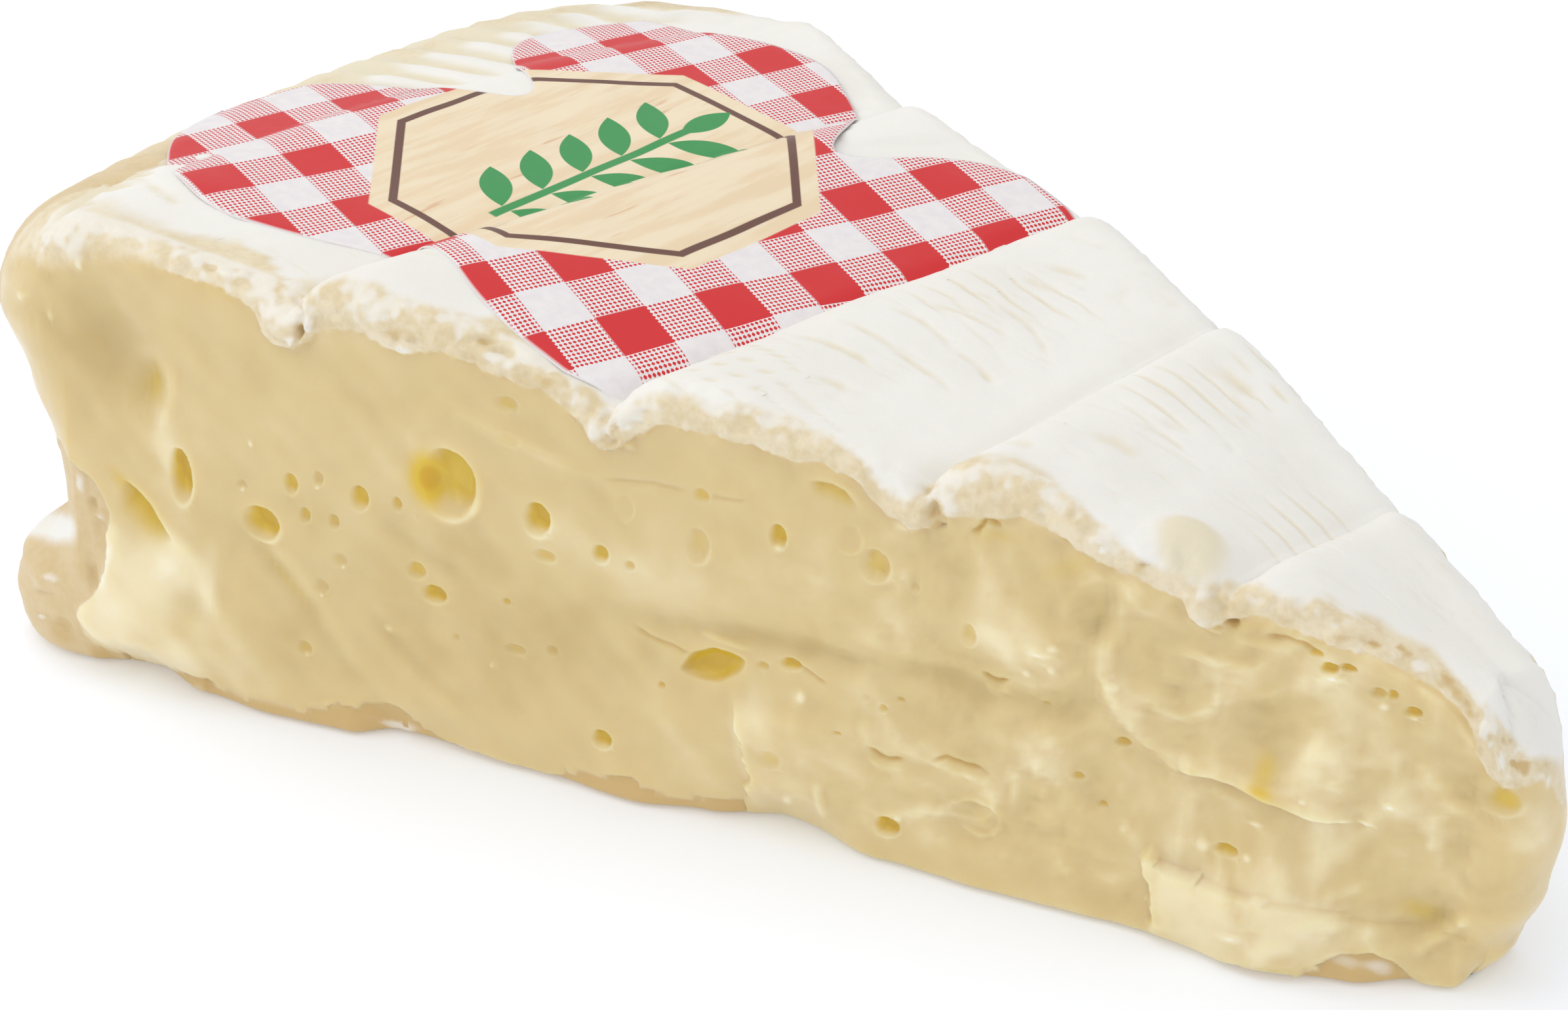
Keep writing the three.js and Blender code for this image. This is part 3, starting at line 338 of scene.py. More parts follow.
# Crumbs and torn hollows of the rind: along, height, half length, half height, out, paler or tan
RIND_BITS = [
    (91.1, 31.9, 0.35, 0.25, 0.3, 0.5), (90.3, 31.6, 0.4, 0.3, -0.5, -0.7),
    (88.9, 31.3, 0.6, 0.35, 0.35, 0.3), (88.4, 31.6, 0.4, 0.2, -0.4, -0.5),
    (87.9, 31.5, 0.4, 0.3, 0.35, 0.5), (84.4, 28.2, 0.3, 0.3, 0.4, 0.8), (83.4, 29.2, 0.35, 0.4, 0.4, 0.8),
    (83.95, 28.6, 0.22, 0.4, -0.6, -0.8), (85.3, 31.2, 0.7, 0.8, -0.3, -0.25), (97, 33, 1, 0.8, 0.15, 0.6),
    (97.6, 33.8, 0.8, 1.6, -0.2, -0.5), (95, 32.4, 2.4, 0.5, -0.1, -0.4), (100, 30.6, 0.7, 0.9, 0.2, 0.5),
    (77, 28.6, 0.7, 0.35, 0.3, 0.5), (76, 29.2, 0.8, 0.4, -0.3, -0.3), (73.4, 29, 0.7, 0.4, 0.3, 0.4),
    (71.3, 30.2, 0.9, 0.35, -0.7, -0.7), (70.3, 29.7, 0.8, 0.28, -0.5, -0.5),
    (71.2, 29.2, 0.8, 0.3, 0.3, 0.3), (70.1, 28.9, 0.9, 0.3, 0.3, 0.3), (68.6, 29.9, 0.7, 0.6, 0.4, 0.7),
    (69, 30.7, 0.6, 0.4, 0.3, 0.8), (67, 28.2, 1.2, 0.6, 0.1, -0.3), (65.6, 27.2, 0.9, 0.5, 0.1, 0.4),
    (64.4, 25.9, 0.4, 0.6, 0.25, 0.4), (63.6, 24.9, 0.6, 0.3, 0.3, 0.5), (62.3, 25.2, 0.4, 0.35, 0.3, 0.4),
    (62, 27.3, 1.1, 0.4, 0.3, 0.6), (62.9, 26.3, 0.3, 0.3, -0.3, -0.5),
    (60.9, 27.4, 0.5, 0.25, -0.2, -0.3), (44.4, 25.8, 1.2, 0.6, 0.1, 0.3),
    (43, 24.8, 0.45, 0.6, -0.5, -0.8), (44.6, 23.5, 0.8, 0.4, 0.2, 0.5),
    (42.6, 23.9, 0.25, 0.2, -0.3, -0.5), (41.9, 25.4, 0.5, 0.7, 0.3, 0.6),
    (43.4, 26.2, 0.5, 0.5, -0.2, -0.5), (33.5, 24.9, 0.5, 0.3, 0.25, 0.6),
    (32.9, 24.4, 0.3, 0.3, 0.25, 0.7), (30.6, 24, 0.3, 0.15, -0.3, -0.4),
    (28.2, 24.6, 0.5, 0.7, -0.4, -0.6), (27.4, 21.8, 0.75, 0.9, 0.45, 0.3),
    (25.4, 21.5, 0.35, 0.3, -0.6, -0.9), (27, 23, 0.5, 0.5, 0.2, 0.2), (26.3, 20.8, 0.4, 0.2, 0.3, 0.3),
    (21.5, 22.4, 1.4, 0.4, -0.1, -0.4), (19.6, 22.9, 0.9, 0.5, -0.2, -0.35),
    (15.8, 22.7, 0.45, 0.42, -0.6, -0.8), (14.7, 23.2, 0.55, 0.3, 0.3, 0.5),
    (14.35, 22.1, 0.35, 0.6, -0.6, -0.9), (13.6, 23.7, 0.6, 0.3, 0.3, 0.5),
    (13.2, 21.6, 0.35, 0.35, -0.5, -0.9), (12.5, 22.6, 0.35, 0.4, 0.3, 0.5),
    (16.2, 21.7, 0.45, 0.3, 0.15, 0.1), (17.4, 22, 1, 0.2, -0.3, -0.4), (9.9, 19.2, 0.6, 1.1, 0.3, 0.6),
    (8.5, 20.2, 0.6, 0.8, 0.2, 0.4), (9.7, 17.7, 0.5, 0.5, -0.4, -0.7), (9.1, 16.4, 0.45, 0.4, -0.4, -0.7),
    (7.9, 15.9, 0.6, 0.45, 0.2, 0.2), (10.6, 18.2, 0.5, 0.4, 0.3, 0.5), (8.4, 17.2, 0.5, 0.4, 0.25, 0.4),
    (7.5, 17, 0.3, 0.3, -0.3, -0.6), (101.5, 7.6, 0.45, 1.2, -0.4, -0.6),
    (100.7, 11.2, 0.4, 0.9, -0.2, -0.4), (101.1, 13, 0.35, 0.5, -0.3, -0.6),
    (100.4, 12.2, 0.4, 0.3, 0.3, 0.4), (101.8, 14.4, 0.4, 0.8, 0.2, 0.5),
    (104.6, 3.1, 0.7, 0.7, -0.25, -0.9), (104.9, 2.9, 0.2, 0.2, 0.2, 0.9),
    (105.9, 3.6, 0.35, 0.25, 0.2, 0.6), (104.9, 6.8, 0.7, 0.45, 0.2, 0.5), (106, 6.1, 0.3, 0.5, 0.2, 0.3),
    (105.7, 5.4, 0.9, 0.2, -0.15, -0.3), (101, 2.3, 0.7, 0.25, -0.1, -0.6),
    (94.1, 0.9, 0.7, 0.4, 0.2, 0.3), (83.8, 2, 0.8, 0.4, 0.2, 0.25), (80, 2.6, 1.6, 0.5, -0.1, -0.5),
    (81.4, 1.7, 0.6, 0.3, 0.1, 0.2), (79.2, 1.6, 1.7, 0.6, 0.15, 0.55), (78.7, 1.75, 0.1, 0.1, -0.2, -2),
    (15.3, 0.9, 0.9, 0.7, 0.1, 0.5), (17.3, 0.8, 1.2, 0.6, 0.1, 0.4), (93.2, 1.3, 0.5, 0.3, -0.4, -0.7),
    (11.6, 18.6, 0.7, 1, -0.15, -0.7), (8.6, 16.4, 0.9, 0.5, -0.2, -0.8),
    (15.3, 21.9, 0.9, 0.4, -0.2, -0.6), (13.1, 20.6, 0.6, 0.8, -0.15, -0.6),
    (10.2, 21.3, 0.5, 1, 0.15, -0.5), (77.7, 29.8, 1.4, 0.6, 0, -0.4),
]
BAND_OUT = 0.2

# Bare streaks where the rack rubbed the top: half width, how bare, points in the plan
TOP_RIBS = [
    (0.3, 0.75, [(-53.6, 2.9), (-51, 3.3), (-48, 3), (-46, 2.1), (-44.3, 0.6)]),
    (0.28, 0.75, [(-53.6, -0.5), (-51.2, 0.6), (-48.7, 1), (-46.9, 0.8)]),
    (0.25, 0.55, [(-54.8, -1.3), (-52.9, -0.3), (-50.7, -0.1), (-47.5, -0.7), (-45.5, -1.8)]),
    (0.3, 0.7, [(-55.1, -2.8), (-52.1, -2.2), (-49.9, -2.5), (-48, -3.2)]),
    (0.3, 0.9, [(-49.2, -2.8), (-47.1, -2.9), (-45.1, -3.5)]),
    (0.32, 0.95, [(-55.5, -6.2), (-52.3, -5.8), (-49.4, -5.9), (-47.5, -5.9), (-45.5, -6.4)]),
    (0.32, 0.9, [(-55.9, -9.5), (-53.8, -8.8), (-51.5, -8.3), (-49.8, -8.5)]),
    (0.45, 0.8, [(-52, -12), (-50.5, -11.5), (-49.1, -11.9)]),
    (0.6, 0.5, [(-52.6, -15.2), (-50.5, -14.5), (-48.6, -14.4)]),
    (0.5, 0.7, [(-52.2, 9), (-50.4, 9.8), (-48.5, 10.4)]),
    (0.6, 0.6, [(-51.8, 7.1), (-50.3, 7.1), (-48.3, 8)]),
    (0.35, 0.5, [(-48.8, 9.9), (-45.7, 9.8), (-44, 9.3)]),
    (0.35, 0.5, [(-50.8, 4.8), (-49, 5.4)]),
    (0.45, 0.5, [(-53.5, 13.2), (-51.2, 13.9), (-49, 14.2)]),
    (0.5, 0.5, [(-45.8, 12.8), (-43, 12.4)]),
    (0.7, 0.8, [(-37.8, -4.6), (-36.1, -4.2), (-33.5, -3.9)]),
    (0.5, 0.75, [(-35.8, 0), (-34.7, 0.4), (-33.3, 0.9)]),
    (0.28, 0.6, [(-36.8, -1.4), (-34.2, -1), (-32.2, -1.1)]),
    (0.28, 0.5, [(-33.8, 2.6), (-31, 1.5)]),
    (0.3, 0.5, [(-37.1, -7.3), (-35.3, -7.5)]),
    (0.25, 0.4, [(-34.5, -7.9), (-32.9, -8.2), (-31.2, -9)]),
    (0.9, 0.6, [(-40.2, -9.4), (-39, -8.8), (-37.8, -8.4)]),
    (0.75, 0.95, [(-37.6, 6.8), (-36.1, 7.4), (-33.7, 7.3)]),
    (0.25, 0.5, [(-87.8, -23.8), (-86.4, -24.3)]),
    (0.25, 0.5, [(-88.4, -26.5), (-86.8, -26.6)]),
    (0.42, 0.9, [(-100.5, -26.2), (-97.3, -25.5), (-94.5, -25.9), (-91.6, -26.4)]),
    (0.3, 0.6, [(-97.6, -22.4), (-95.4, -22.6), (-93.1, -23.1), (-90.8, -23.6)]),
    (0.5, 0.5, [(-62.5, 12), (-60, 13), (-57, 14)]),
    (0.4, 0.5, [(-70, 20.5), (-66, 19.5), (-62.5, 18.8)]),
    (0.4, 0.5, [(-78, 23), (-75.5, 22.5), (-73.5, 22.4)]),
    (0.3, 0.45, [(-30.5, 4.5), (-28.4, 3.8), (-27, 3.6)]),
    (0.4, 0.5, [(-20.5, 3.6), (-18.6, 3), (-16.6, 2.9)]),
    (0.3, 0.5, [(-19, 1), (-17.2, 0.8), (-15.4, 1)]),
]
# The fingers that the mould left round the rim's top
FINGER_PITCH = 2.9
FINGER_TWIST = 0.2
FINGER_FROM = 93.6
FINGER_TIP = 100.8
# Distance between the faint lines of the rack
RACK_PITCH = 1.7

# Mesh density: lines in each stretch, levels in the corner zones, lines across and rows up
BODY_LINES = [42, 48, 44, 42, 34]
RIM_LEVELS = 20
TIP_LEVELS = 12
NEAR_LEVELS = 16
FAR_LEVELS = 18
INNER_LINES = 62
WALL_ROWS = 64

# The label: how far it reaches towards the rim, half its width, its corners and how it lies
LABEL_REACH = 106
LABEL_HALF_WIDTH = 20.4
LABEL_CORNER = 9
LABEL_NEAR_MARGIN = 0.9
LABEL_FAR_MARGIN = 1.6
LABEL_GAP = 0.06
LABEL_THICKNESS = 0.12
# Lobes and waists of its sides: distance from the cutter's origin, half length and how far out
LABEL_NEAR_LOBES = [(91, 6, 2.6), (79, 6, -2.8)]
LABEL_FAR_LOBES = [(89, 7, 4.6), (75.2, 3.4, -7)]
# Its end at the rim: -1 is its full reach, 0 the line where the top rounds over and 1 the first crease
LABEL_END_NEAR = -1
LABEL_END_FAR = -0.3
LABEL_WAIST = 0.9
LABEL_WAIST_AT = 0.56
LABEL_WAIST_BREADTH = 0.135
LABEL_RIM_LINES = 70
LABEL_REST_LINES = 68
LABEL_ACROSS = 150
# Middle of the label's print
PRINT_MIDDLE = (-80, -2.1)

HALF_ANGLE = WEDGE_ANGLE / 2
NEAR_LINE = np.array([-math.cos(HALF_ANGLE), -math.sin(HALF_ANGLE)])
FAR_LINE = np.array([-math.cos(HALF_ANGLE), math.sin(HALF_ANGLE)])
NEAR_OUT = np.array([math.sin(HALF_ANGLE), -math.cos(HALF_ANGLE)])
FAR_OUT = np.array([math.sin(HALF_ANGLE), math.cos(HALF_ANGLE)])

# Kinds of unevenness, each a sum of waves: how much, longest size, seed and layers
UNEVEN = {
    "wobble": [(0.5, 5, 3, 1)], "paste tone": [(0.2, 7, 4, 2)],
    "step jag": [(0.35, 1.3, 8, 1), (0.15, 0.5, 9, 1)], "crack jag": [(0.1, 0.7, 12, 1)],
    **{f"drift {axis}": [(1.8, 7, 41 + axis, 1)] for axis in range(3)}, "folds": [(2.6, 5.5, 44, 1)],
    "soft lumps": [(1, 4.2, 21, 2)], "small lumps": [(1, 1.7, 24, 2)], "wet crumbs": [(1, 0.9, 27, 2)],
    "drag": [(1, 1, 23, 1)], "ragged edge": [(0.2, 1.4, 51, 3), (0.1, 0.5, 52, 1)],
    "bloom edge": [(0.35, 2, 60, 3)], "crumb jag": [(0.12, 0.6, 56, 1)],
    "far cut": [(0.35, 7, 61, 3), (0.12, 2.2, 62, 3)], "far tone": [(0.4, 8, 64, 2)],
    "far band": [(0.35, 1.8, 53, 3)], "far foot": [(1.2, 9, 54, 1)], "far bloom": [(0.35, 1.7, 60, 3)],
    "rim edge": [(0.12, 4, 59, 1)], "rim bloom": [(1, 6, 63, 3)], "corner": [(2, 5, 66, 1)],
    "crust": [(0.16, 1.2, 55, 3), (0.09, 0.5, 50, 1)], "flakes": [(0.4, 1.5, 48, 2), (0.32, 0.55, 49, 1)],
    "rind": [(0.14, 5, 57, 3), (0.06, 1.5, 58, 3)], "top": [(0.16, 12, 71, 1), (0.06, 5, 72, 1)],
    **{f"crease {number}": [(0.3, 6, 73 + number, 1)] for number in range(1, 5)},
    "crease lip": [(0.2, 7, 80, 1)], "finger sway": [(0.2, 9, 92, 1)], "finger reach": [(1, 3, 91, 1)],
    "rim line": [(0.4, 2, 94, 1)], "mould": [(0.035, 1.8, 95, 3)], "rub": [(0.5, 1.6, 93, 1)],
    "streaks": [(1, 1, 97, 1)], "rack sway": [(0.35, 6, 98, 1)], "rack places": [(1, 10, 99, 1)],
    "paper": [(0.05, 4, 111, 1)],
}


def paint(red, green, blue):
    """A screen colour in 0 to 255 as Blender's linear colour."""
    shares = np.array([red, green, blue]) / 255
    linear = np.where(shares <= 0.04045, shares / 12.92, ((shares + 0.055) / 1.055) ** 2.4)
    return tuple(float(value) for value in linear) + (1.0,)


# Plain sums on arrays


def smooth(low, high, value):
    share = np.clip((value - low) / (high - low), 0, 1)
    return share * share * (3 - 2 * share)


def mix(low, high, share):
    return low + (high - low) * share


def bell(*gaps):
    """1 in the middle and fading away from it. Each gap is a distance over its own breadth."""
    return np.exp(-sum(gap**2 for gap in gaps))


def blob(u, v):
    """A bell with a flatter top and steeper sides."""
    return np.exp(-((u**2 + v**2) ** 1.5))


def taper(share, start, full, fading, end):
    """1 along the middle of a line, fading in from start to full and out from fading to end."""
    return smooth(start, full, share) * (1 - smooth(fading, end, share))


def turned(x, y, middle_x, middle_y, degrees):
    """Distances from a point, along a direction turned by some degrees and across it."""
    cos, sin = math.cos(math.radians(degrees)), math.sin(math.radians(degrees))
    return (x - middle_x) * cos + (y - middle_y) * sin, (y - middle_y) * cos - (x - middle_x) * sin


def unit(vectors):
    length = np.linalg.norm(vectors, axis=-1, keepdims=True)
    return vectors / np.maximum(length, 1e-9)


def on_plan(x, y):
    return np.stack([x, y, np.zeros_like(x)], axis=1)


def profile_at(profile, place):
    """Value of a profile of (place, value) corners, eased from corner to corner."""
    value = np.full(np.shape(place), float(profile[0][1]))
    for (left, low), (right, high) in zip(profile[:-1], profile[1:]):
        value = np.where(place > left, mix(low, high, smooth(left, right, place)), value)
    return value


def broken_line(corners, place):
    """Height of a line drawn through corners, at each place."""
    places, heights = np.array(corners, float).T
    return np.interp(place, places, heights)


def scatter(cell, seed):
    """A repeatable number from -1 to 1 for each whole-number cell."""
    mixed = cell[..., 0] * 73856093 ^ cell[..., 1] * 19349663 ^ cell[..., 2] * 83492791 ^ seed * 26544357
    mixed = (mixed ^ (mixed >> 13)) * 1274126177 & 0xFFFFFFFF
    mixed = (mixed ^ (mixed >> 15)) * 668265263 & 0xFFFFFFFF
    return (mixed ^ (mixed >> 16)) / 2147483647.5 - 1


def waves(points, size, seed):
    """Smooth unevenness from about -1 to 1, with waves one size long."""
    at = points / size
    cell = np.floor(at).astype(np.int64)
    inside = at - cell
    ease = inside**3 * (inside * (inside * 6 - 15) + 10)
    total = np.zeros(len(points))
    for corner in range(8):
        step = np.array([corner & 1, (corner >> 1) & 1, corner >> 2])
        away = inside - step
        slope = sum(scatter(cell + step, seed + 31 * axis) * away[:, axis] for axis in range(3))
        total += np.prod(np.where(step, ease, 1 - ease), axis=1) * slope
    return total * 1.7


def layered(points, size, seed, layers):
    total = np.zeros(len(points))
    for layer in range(layers):
        total += waves(points, size / 2**layer, seed + 101 * layer) / 2**layer
    return total


def uneven(points, kind):
    """Sum of the waves that are listed for one kind of unevenness."""
    return sum(amount * layered(points, size, seed, layers) for amount, size, seed, layers in UNEVEN[kind])


CURD_SIZE = 5
CURD_SEAM = 0.8
# How far the middle of a curd may lie from the middle of its cell
CURD_SCATTER = 0.42


def curds(points, seed):
    """0 along the seams between curds and 1 inside them."""
    at = points / CURD_SIZE
    cell = np.floor(at).astype(np.int64)
    nearest = np.full(len(points), 9.0)
    second = np.full(len(points), 9.0)
    for n in range(27):
        step = np.array([n % 3, n // 3 % 3, n // 9]) - 1
        middle = np.stack([scatter(cell + step, seed + 17 * axis) for axis in range(3)], axis=1)
        gap = np.linalg.norm(cell + step + 0.5 + CURD_SCATTER * middle - at, axis=1)
        second = np.minimum(second, np.maximum(nearest, gap))
        nearest = np.minimum(nearest, gap)
    return smooth(0, CURD_SEAM, second - nearest)


# Plan of the wedge, as in the solids

# How lines crowd at the start of a stretch, and how broad the tight levels at rim and tip are
LINE_CROWDING = 1.15
RIM_TIGHT = 6.5
TIP_TIGHT = 2.8
FAR_LEVEL_SHARE = 0.6
# Between these distances the lines across bend into arcs about the origin
BOW_FROM = STATIONS[1][0] - 6
BOW_TO = STATIONS[0][0] - 2


def line_across(stretch, eased):
    """Ends and heights of lines across the top, a share of the way along each stretch."""
    start = STATIONS[stretch]
    stop = STATIONS[stretch + 1]
    near, far, height, far_height = np.moveaxis(start + (stop - start) * eased[..., None], -1, 0)
    swell = SWELLS[stretch] * (1 - eased) * (1 - np.exp(-eased / SWELL_RISE))
    return near, far, height + swell, far_height + swell * FAR_SWELL_SHARE


def bowed(near_end, far_end, share, bow):
    """A point between two ends, on a straight line or on an arc about the cutter's origin."""
    straight = mix(near_end, far_end, share[..., None])
    lengths = [np.linalg.norm(end, axis=-1) for end in (near_end, far_end)]
    angles = [np.arctan2(end[..., 1], -end[..., 0]) for end in (near_end, far_end)]
    angle = mix(*angles, share)
    on_arc = np.stack([-np.cos(angle), np.sin(angle)], axis=-1) * mix(*lengths, share)[..., None]
    return mix(straight, on_arc, bow[..., None])


def bow_of(station):
    return smooth(BOW_FROM, BOW_TO, station)


def ends_of(near, far):
    lean = FAR_LEAN * smooth(FAR_LEAN_FROM, FAR_LEAN_TO, far)
    return NEAR_LINE * near[..., None], FAR_LINE * far[..., None] - FAR_OUT * lean[..., None]


def rounding_drop(radius, inset):
    left = np.maximum(radius - inset, 0)
    return radius - np.sqrt(np.maximum(radius * radius - left * left, 0))


def corner_levels(count, tight, radius):
    """Levels from the outline inwards: close over the tight rounding, then even."""
    turn = np.linspace(0, math.pi / 2, count * 3 // 5 + 1)
    rounded = tight * (1 - np.cos(turn)) / radius
    rest = np.linspace(rounded[-1], 1, count - len(rounded) + 2)[1:]
    return 1 - np.concatenate([rounded, rest])


def wedge_grid():
    """Point, way out, level, inset, height, shoulder and shares of rim and tip of each place."""
    rim_levels = corner_levels(RIM_LEVELS, RIM_TIGHT, NEAR_CORNER_RADIUS)[:-1]
    tip_levels = corner_levels(TIP_LEVELS, TIP_TIGHT, TIP_RADIUS)[::-1]
    body = [(np.arange(count) / count) ** LINE_CROWDING for count in BODY_LINES]
    eased = np.concatenate([np.zeros(len(rim_levels)), *body, np.ones(len(tip_levels))])
    last = len(BODY_LINES) - 1
    counts = [len(rim_levels), *BODY_LINES, len(tip_levels)]
    stretch = np.repeat([0, *range(last + 1), last], counts)
    end_level = np.concatenate([-rim_levels, np.zeros(sum(BODY_LINES)), tip_levels])

    near_levels = corner_levels(NEAR_LEVELS, CUT_SHOULDER, NEAR_CORNER_RADIUS)[:-1]
    far_levels = corner_levels(FAR_LEVELS, FAR_SHOULDER, FAR_CORNER_RADIUS * FAR_LEVEL_SHARE)[:-1][::-1]
    inner = np.linspace(0, 1, INNER_LINES)
    inner = np.concatenate([np.zeros(len(near_levels)), inner, np.ones(len(far_levels))])
    side_level = np.concatenate([-near_levels, np.zeros(INNER_LINES), far_levels])

    near, far, height, far_height = line_across(stretch, eased)
    part = np.where(stretch == 0, eased, eased ** (1 / SWELL_POWER))
    progress = mix(STRETCH_SHARES[stretch], STRETCH_SHARES[stretch + 1], part)
    to_tip = (STATIONS[0][0] - near) / (STATIONS[0][0] - TIP_STATION)
    near_radius = mix(NEAR_CORNER_RADIUS, TIP_RADIUS, to_tip)
    far_radius = mix(FAR_CORNER_RADIUS, TIP_RADIUS, np.sqrt(to_tip))
    radius = mix(near_radius[:, None], far_radius[:, None], inner[None, :])

    near_end, far_end = ends_of(near, far)
    ridge = unit(far_end - near_end)
    straight = np.minimum(smooth(0, END_SHARE, progress), 1 - smooth(1 - END_SHARE, 1, progress))
    near_in = mix(-NEAR_OUT, -ridge / (ridge @ NEAR_OUT)[:, None], straight[:, None])
    far_in = mix(-FAR_OUT, -ridge / (ridge @ FAR_OUT)[:, None], straight[:, None])
    near_core = near_end + near_in * near_radius[:, None]
    far_core = far_end + far_in * far_radius[:, None]
    shape = (len(near), len(inner))
    share = np.broadcast_to(inner[None, :], shape)
    bow = np.broadcast_to(bow_of(near)[:, None], shape)
    core = bowed(near_core[:, None], far_core[:, None], share, bow)

    ends = np.broadcast_to(end_level[:, None], shape)
    sides = np.broadcast_to(side_level[None, :], shape)
    level = np.maximum(np.abs(ends), np.abs(sides))
    side_out = np.where(sides[..., None] < 0, NEAR_OUT, FAR_OUT)
    end_out = np.where(ends[..., None] < 0, unit(core), np.array([1, 0]))
    corner = unit(end_out * np.abs(ends)[..., None] + side_out * np.abs(sides)[..., None])
    inward = np.where(sides[..., None] < 0, near_in[:, None], far_in[:, None])
    step = (radius * level)[..., None]
    in_corner = (ends != 0)[..., None]
    point = np.where(in_corner, core + corner * step, core - inward * step * (sides != 0)[..., None])
    turn = np.where(ends == 0, 0, np.abs(ends) / np.maximum(np.hypot(ends, sides), 1e-9))
    rim = np.where(ends < 0, turn, 0)
    tip = np.where(ends > 0, np.minimum(turn * math.sqrt(2), 1), 0)
    shoulder = mix(mix(CUT_SHOULDER, FAR_SHOULDER, share), RIM_SHOULDER, np.sqrt(rim))
    return {
        "point": point,
        "out": np.where(in_corner, corner, side_out),
        "level": level,
        "inset": radius * (1 - level),
        "height": mix(height[:, None], far_height[:, None], inner[None, :]),
        "rim": rim,
        "tip": tip,
        "shoulder": mix(shoulder, TIP_SHOULDER, tip),
    }


def mounds_out(mounds, along, up):
    """Sum of round mounds and hollows, each turned by some degrees."""
    out = np.zeros(np.shape(along))
    for middle, height, length, tall, turn, amount in mounds:
        u, v = turned(along, up, middle, height, turn)
        out += amount * bell(u / length, v / tall)
    return out


def wall_out(place, up):
    """How far a wall stands out from the outline, as in the solids."""
    cut = np.maximum(1 - place["rim"] - place["tip"], 0)
    along = np.linalg.norm(place["point"], axis=-1)
    near = place["point"][..., 1] < 0
    swells = np.where(near, mounds_out(NEAR_SWELLS, along, up), mounds_out(FAR_SWELLS, along, up))
    foot = np.where(near, profile_at(FOOT_LINE, along), 0)
    cut_out = mix(foot, swells, smooth(0, FOOT_HEIGHT, up)) * np.sqrt(cut)
    return cut_out - profile_at(RIM_PROFILE, up) * place["rim"] - profile_at(TIP_PROFILE, up) * place["tip"]


# Relief of the cuts

# How drawn lines fade at their ends, as shares of their length
STROKE_TAPER = (-0.08, 0.22, 0.78, 1.08)
GOUGE_TAPER = (-0.02, 0.2, 0.55, 1.02)
STEP_TAPER = (-0.05, 0.25, 0.8, 1)
# How sharply a gouge and a step drop, and the lip beside a gouge
GOUGE_DROP = (0, 0.3)
GOUGE_LIP = 0.08
GOUGE_LIP_WIDTH = 0.2
STEP_DROP = (-0.35, 0.25)


def beside_stroke(points, along, up):
    """Distance from a drawn line, share of its length passed, and side on which a place lies."""
    points = np.array(points, float)
    lengths = np.linalg.norm(np.diff(points, axis=0), axis=1)
    passed = np.concatenate([[0], np.cumsum(lengths)])
    best = np.full(along.shape, 1e9)
    share = np.zeros(along.shape)
    side = np.zeros(along.shape)
    for start, stop, before, length in zip(points[:-1], points[1:], passed, lengths):
        step = (stop - start) / length
        reach = np.clip((along - start[0]) * step[0] + (up - start[1]) * step[1], 0, length)
        gap = np.hypot(along - start[0] - reach * step[0], up - start[1] - reach * step[1])
        turn = step[0] * (up - start[1]) - step[1] * (along - start[0])
        nearer = gap < best
        best = np.where(nearer, gap, best)
        share = np.where(nearer, (before + reach) / passed[-1], share)
        side = np.where(nearer, np.sign(turn), side)
    return best, share, side


def stroke_out(stroke, along, up):
    out, width, points = stroke
    gap, share, _ = beside_stroke(points, along, up)
    return out * bell(gap / width) * taper(share, *STROKE_TAPER)


def gouge_out(gouge, along, up):
    """A hollow, crisp along its line and fading on one side: how far out and how much painted golden glow."""
    depth, width, hollow_glow, points = gouge
    gap, share, side = beside_stroke(points, along, up)
    signed = gap * side
    fading = taper(share, *GOUGE_TAPER)
    hollow = smooth(*GOUGE_DROP, signed) * bell(np.maximum(signed, 0) / width) * fading
    lip = GOUGE_LIP * bell((signed + GOUGE_LIP_WIDTH) / GOUGE_LIP_WIDTH) * fading
    return lip - depth * hollow, hollow_glow * hollow


def step_out(step, along, up):
    out, fade, points = step
    gap, share, side = beside_stroke(points, along, up)
    signed = gap * side
    beyond = np.exp(-np.maximum(signed, 0) / fade)
    return out * smooth(*STEP_DROP, signed) * beyond * taper(share, *STEP_TAPER)


# An eye: where its side turns steep, how it spreads and drops on its easy and steep side
EYE_STEEP = (-0.35, 0.75)
EYE_SPREAD = (1.7, 5)
EYE_DROP = (1.5, 0.85)
EYE_LIP_AT = 1.13
EYE_LIP_WIDTH = 0.15
EYE_LIP_ROUND = 0.1
# Painted highlight on the lip of an eye
EYE_LIP_HIGHLIGHT = 0.9
# Outline of the torn hollow: how square it is, how it slants and how flat its floor is
HOLLOW_SQUARE = 1.5
HOLLOW_SLANT = 0.25
HOLLOW_FLAT = 2.2


def eye_out(eye, along, up):
    """A cup with one steep side and a thin lip: how far out, how much painted golden glow and how much painted
    highlight on the lip.
    """
    middle, height, length, tall, depth, hollow_glow = eye
    u = (along - middle) / length
    v = (up - height) / tall
    far = np.maximum(np.hypot(u, v), 1e-6)
    steep = np.clip((u * STEEP_SIDE[0] + v * STEEP_SIDE[1]) / far, -1, 1)
    lip = np.clip((u * LIP_SIDE[0] + v * LIP_SIDE[1]) / far, 0, 1)
    share = smooth(*EYE_STEEP, steep)
    cup = np.clip(1 - far ** mix(*EYE_SPREAD, share), 0, 1) ** mix(*EYE_DROP, share)
    edge = bell((far - EYE_LIP_AT) / EYE_LIP_WIDTH)
    raised = LIP_HEIGHT * min(length, tall) * edge * (EYE_LIP_ROUND + lip)
    return raised - depth * cup, hollow_glow * cup, EYE_LIP_HIGHLIGHT * edge * lip**2 * min(depth, 1)


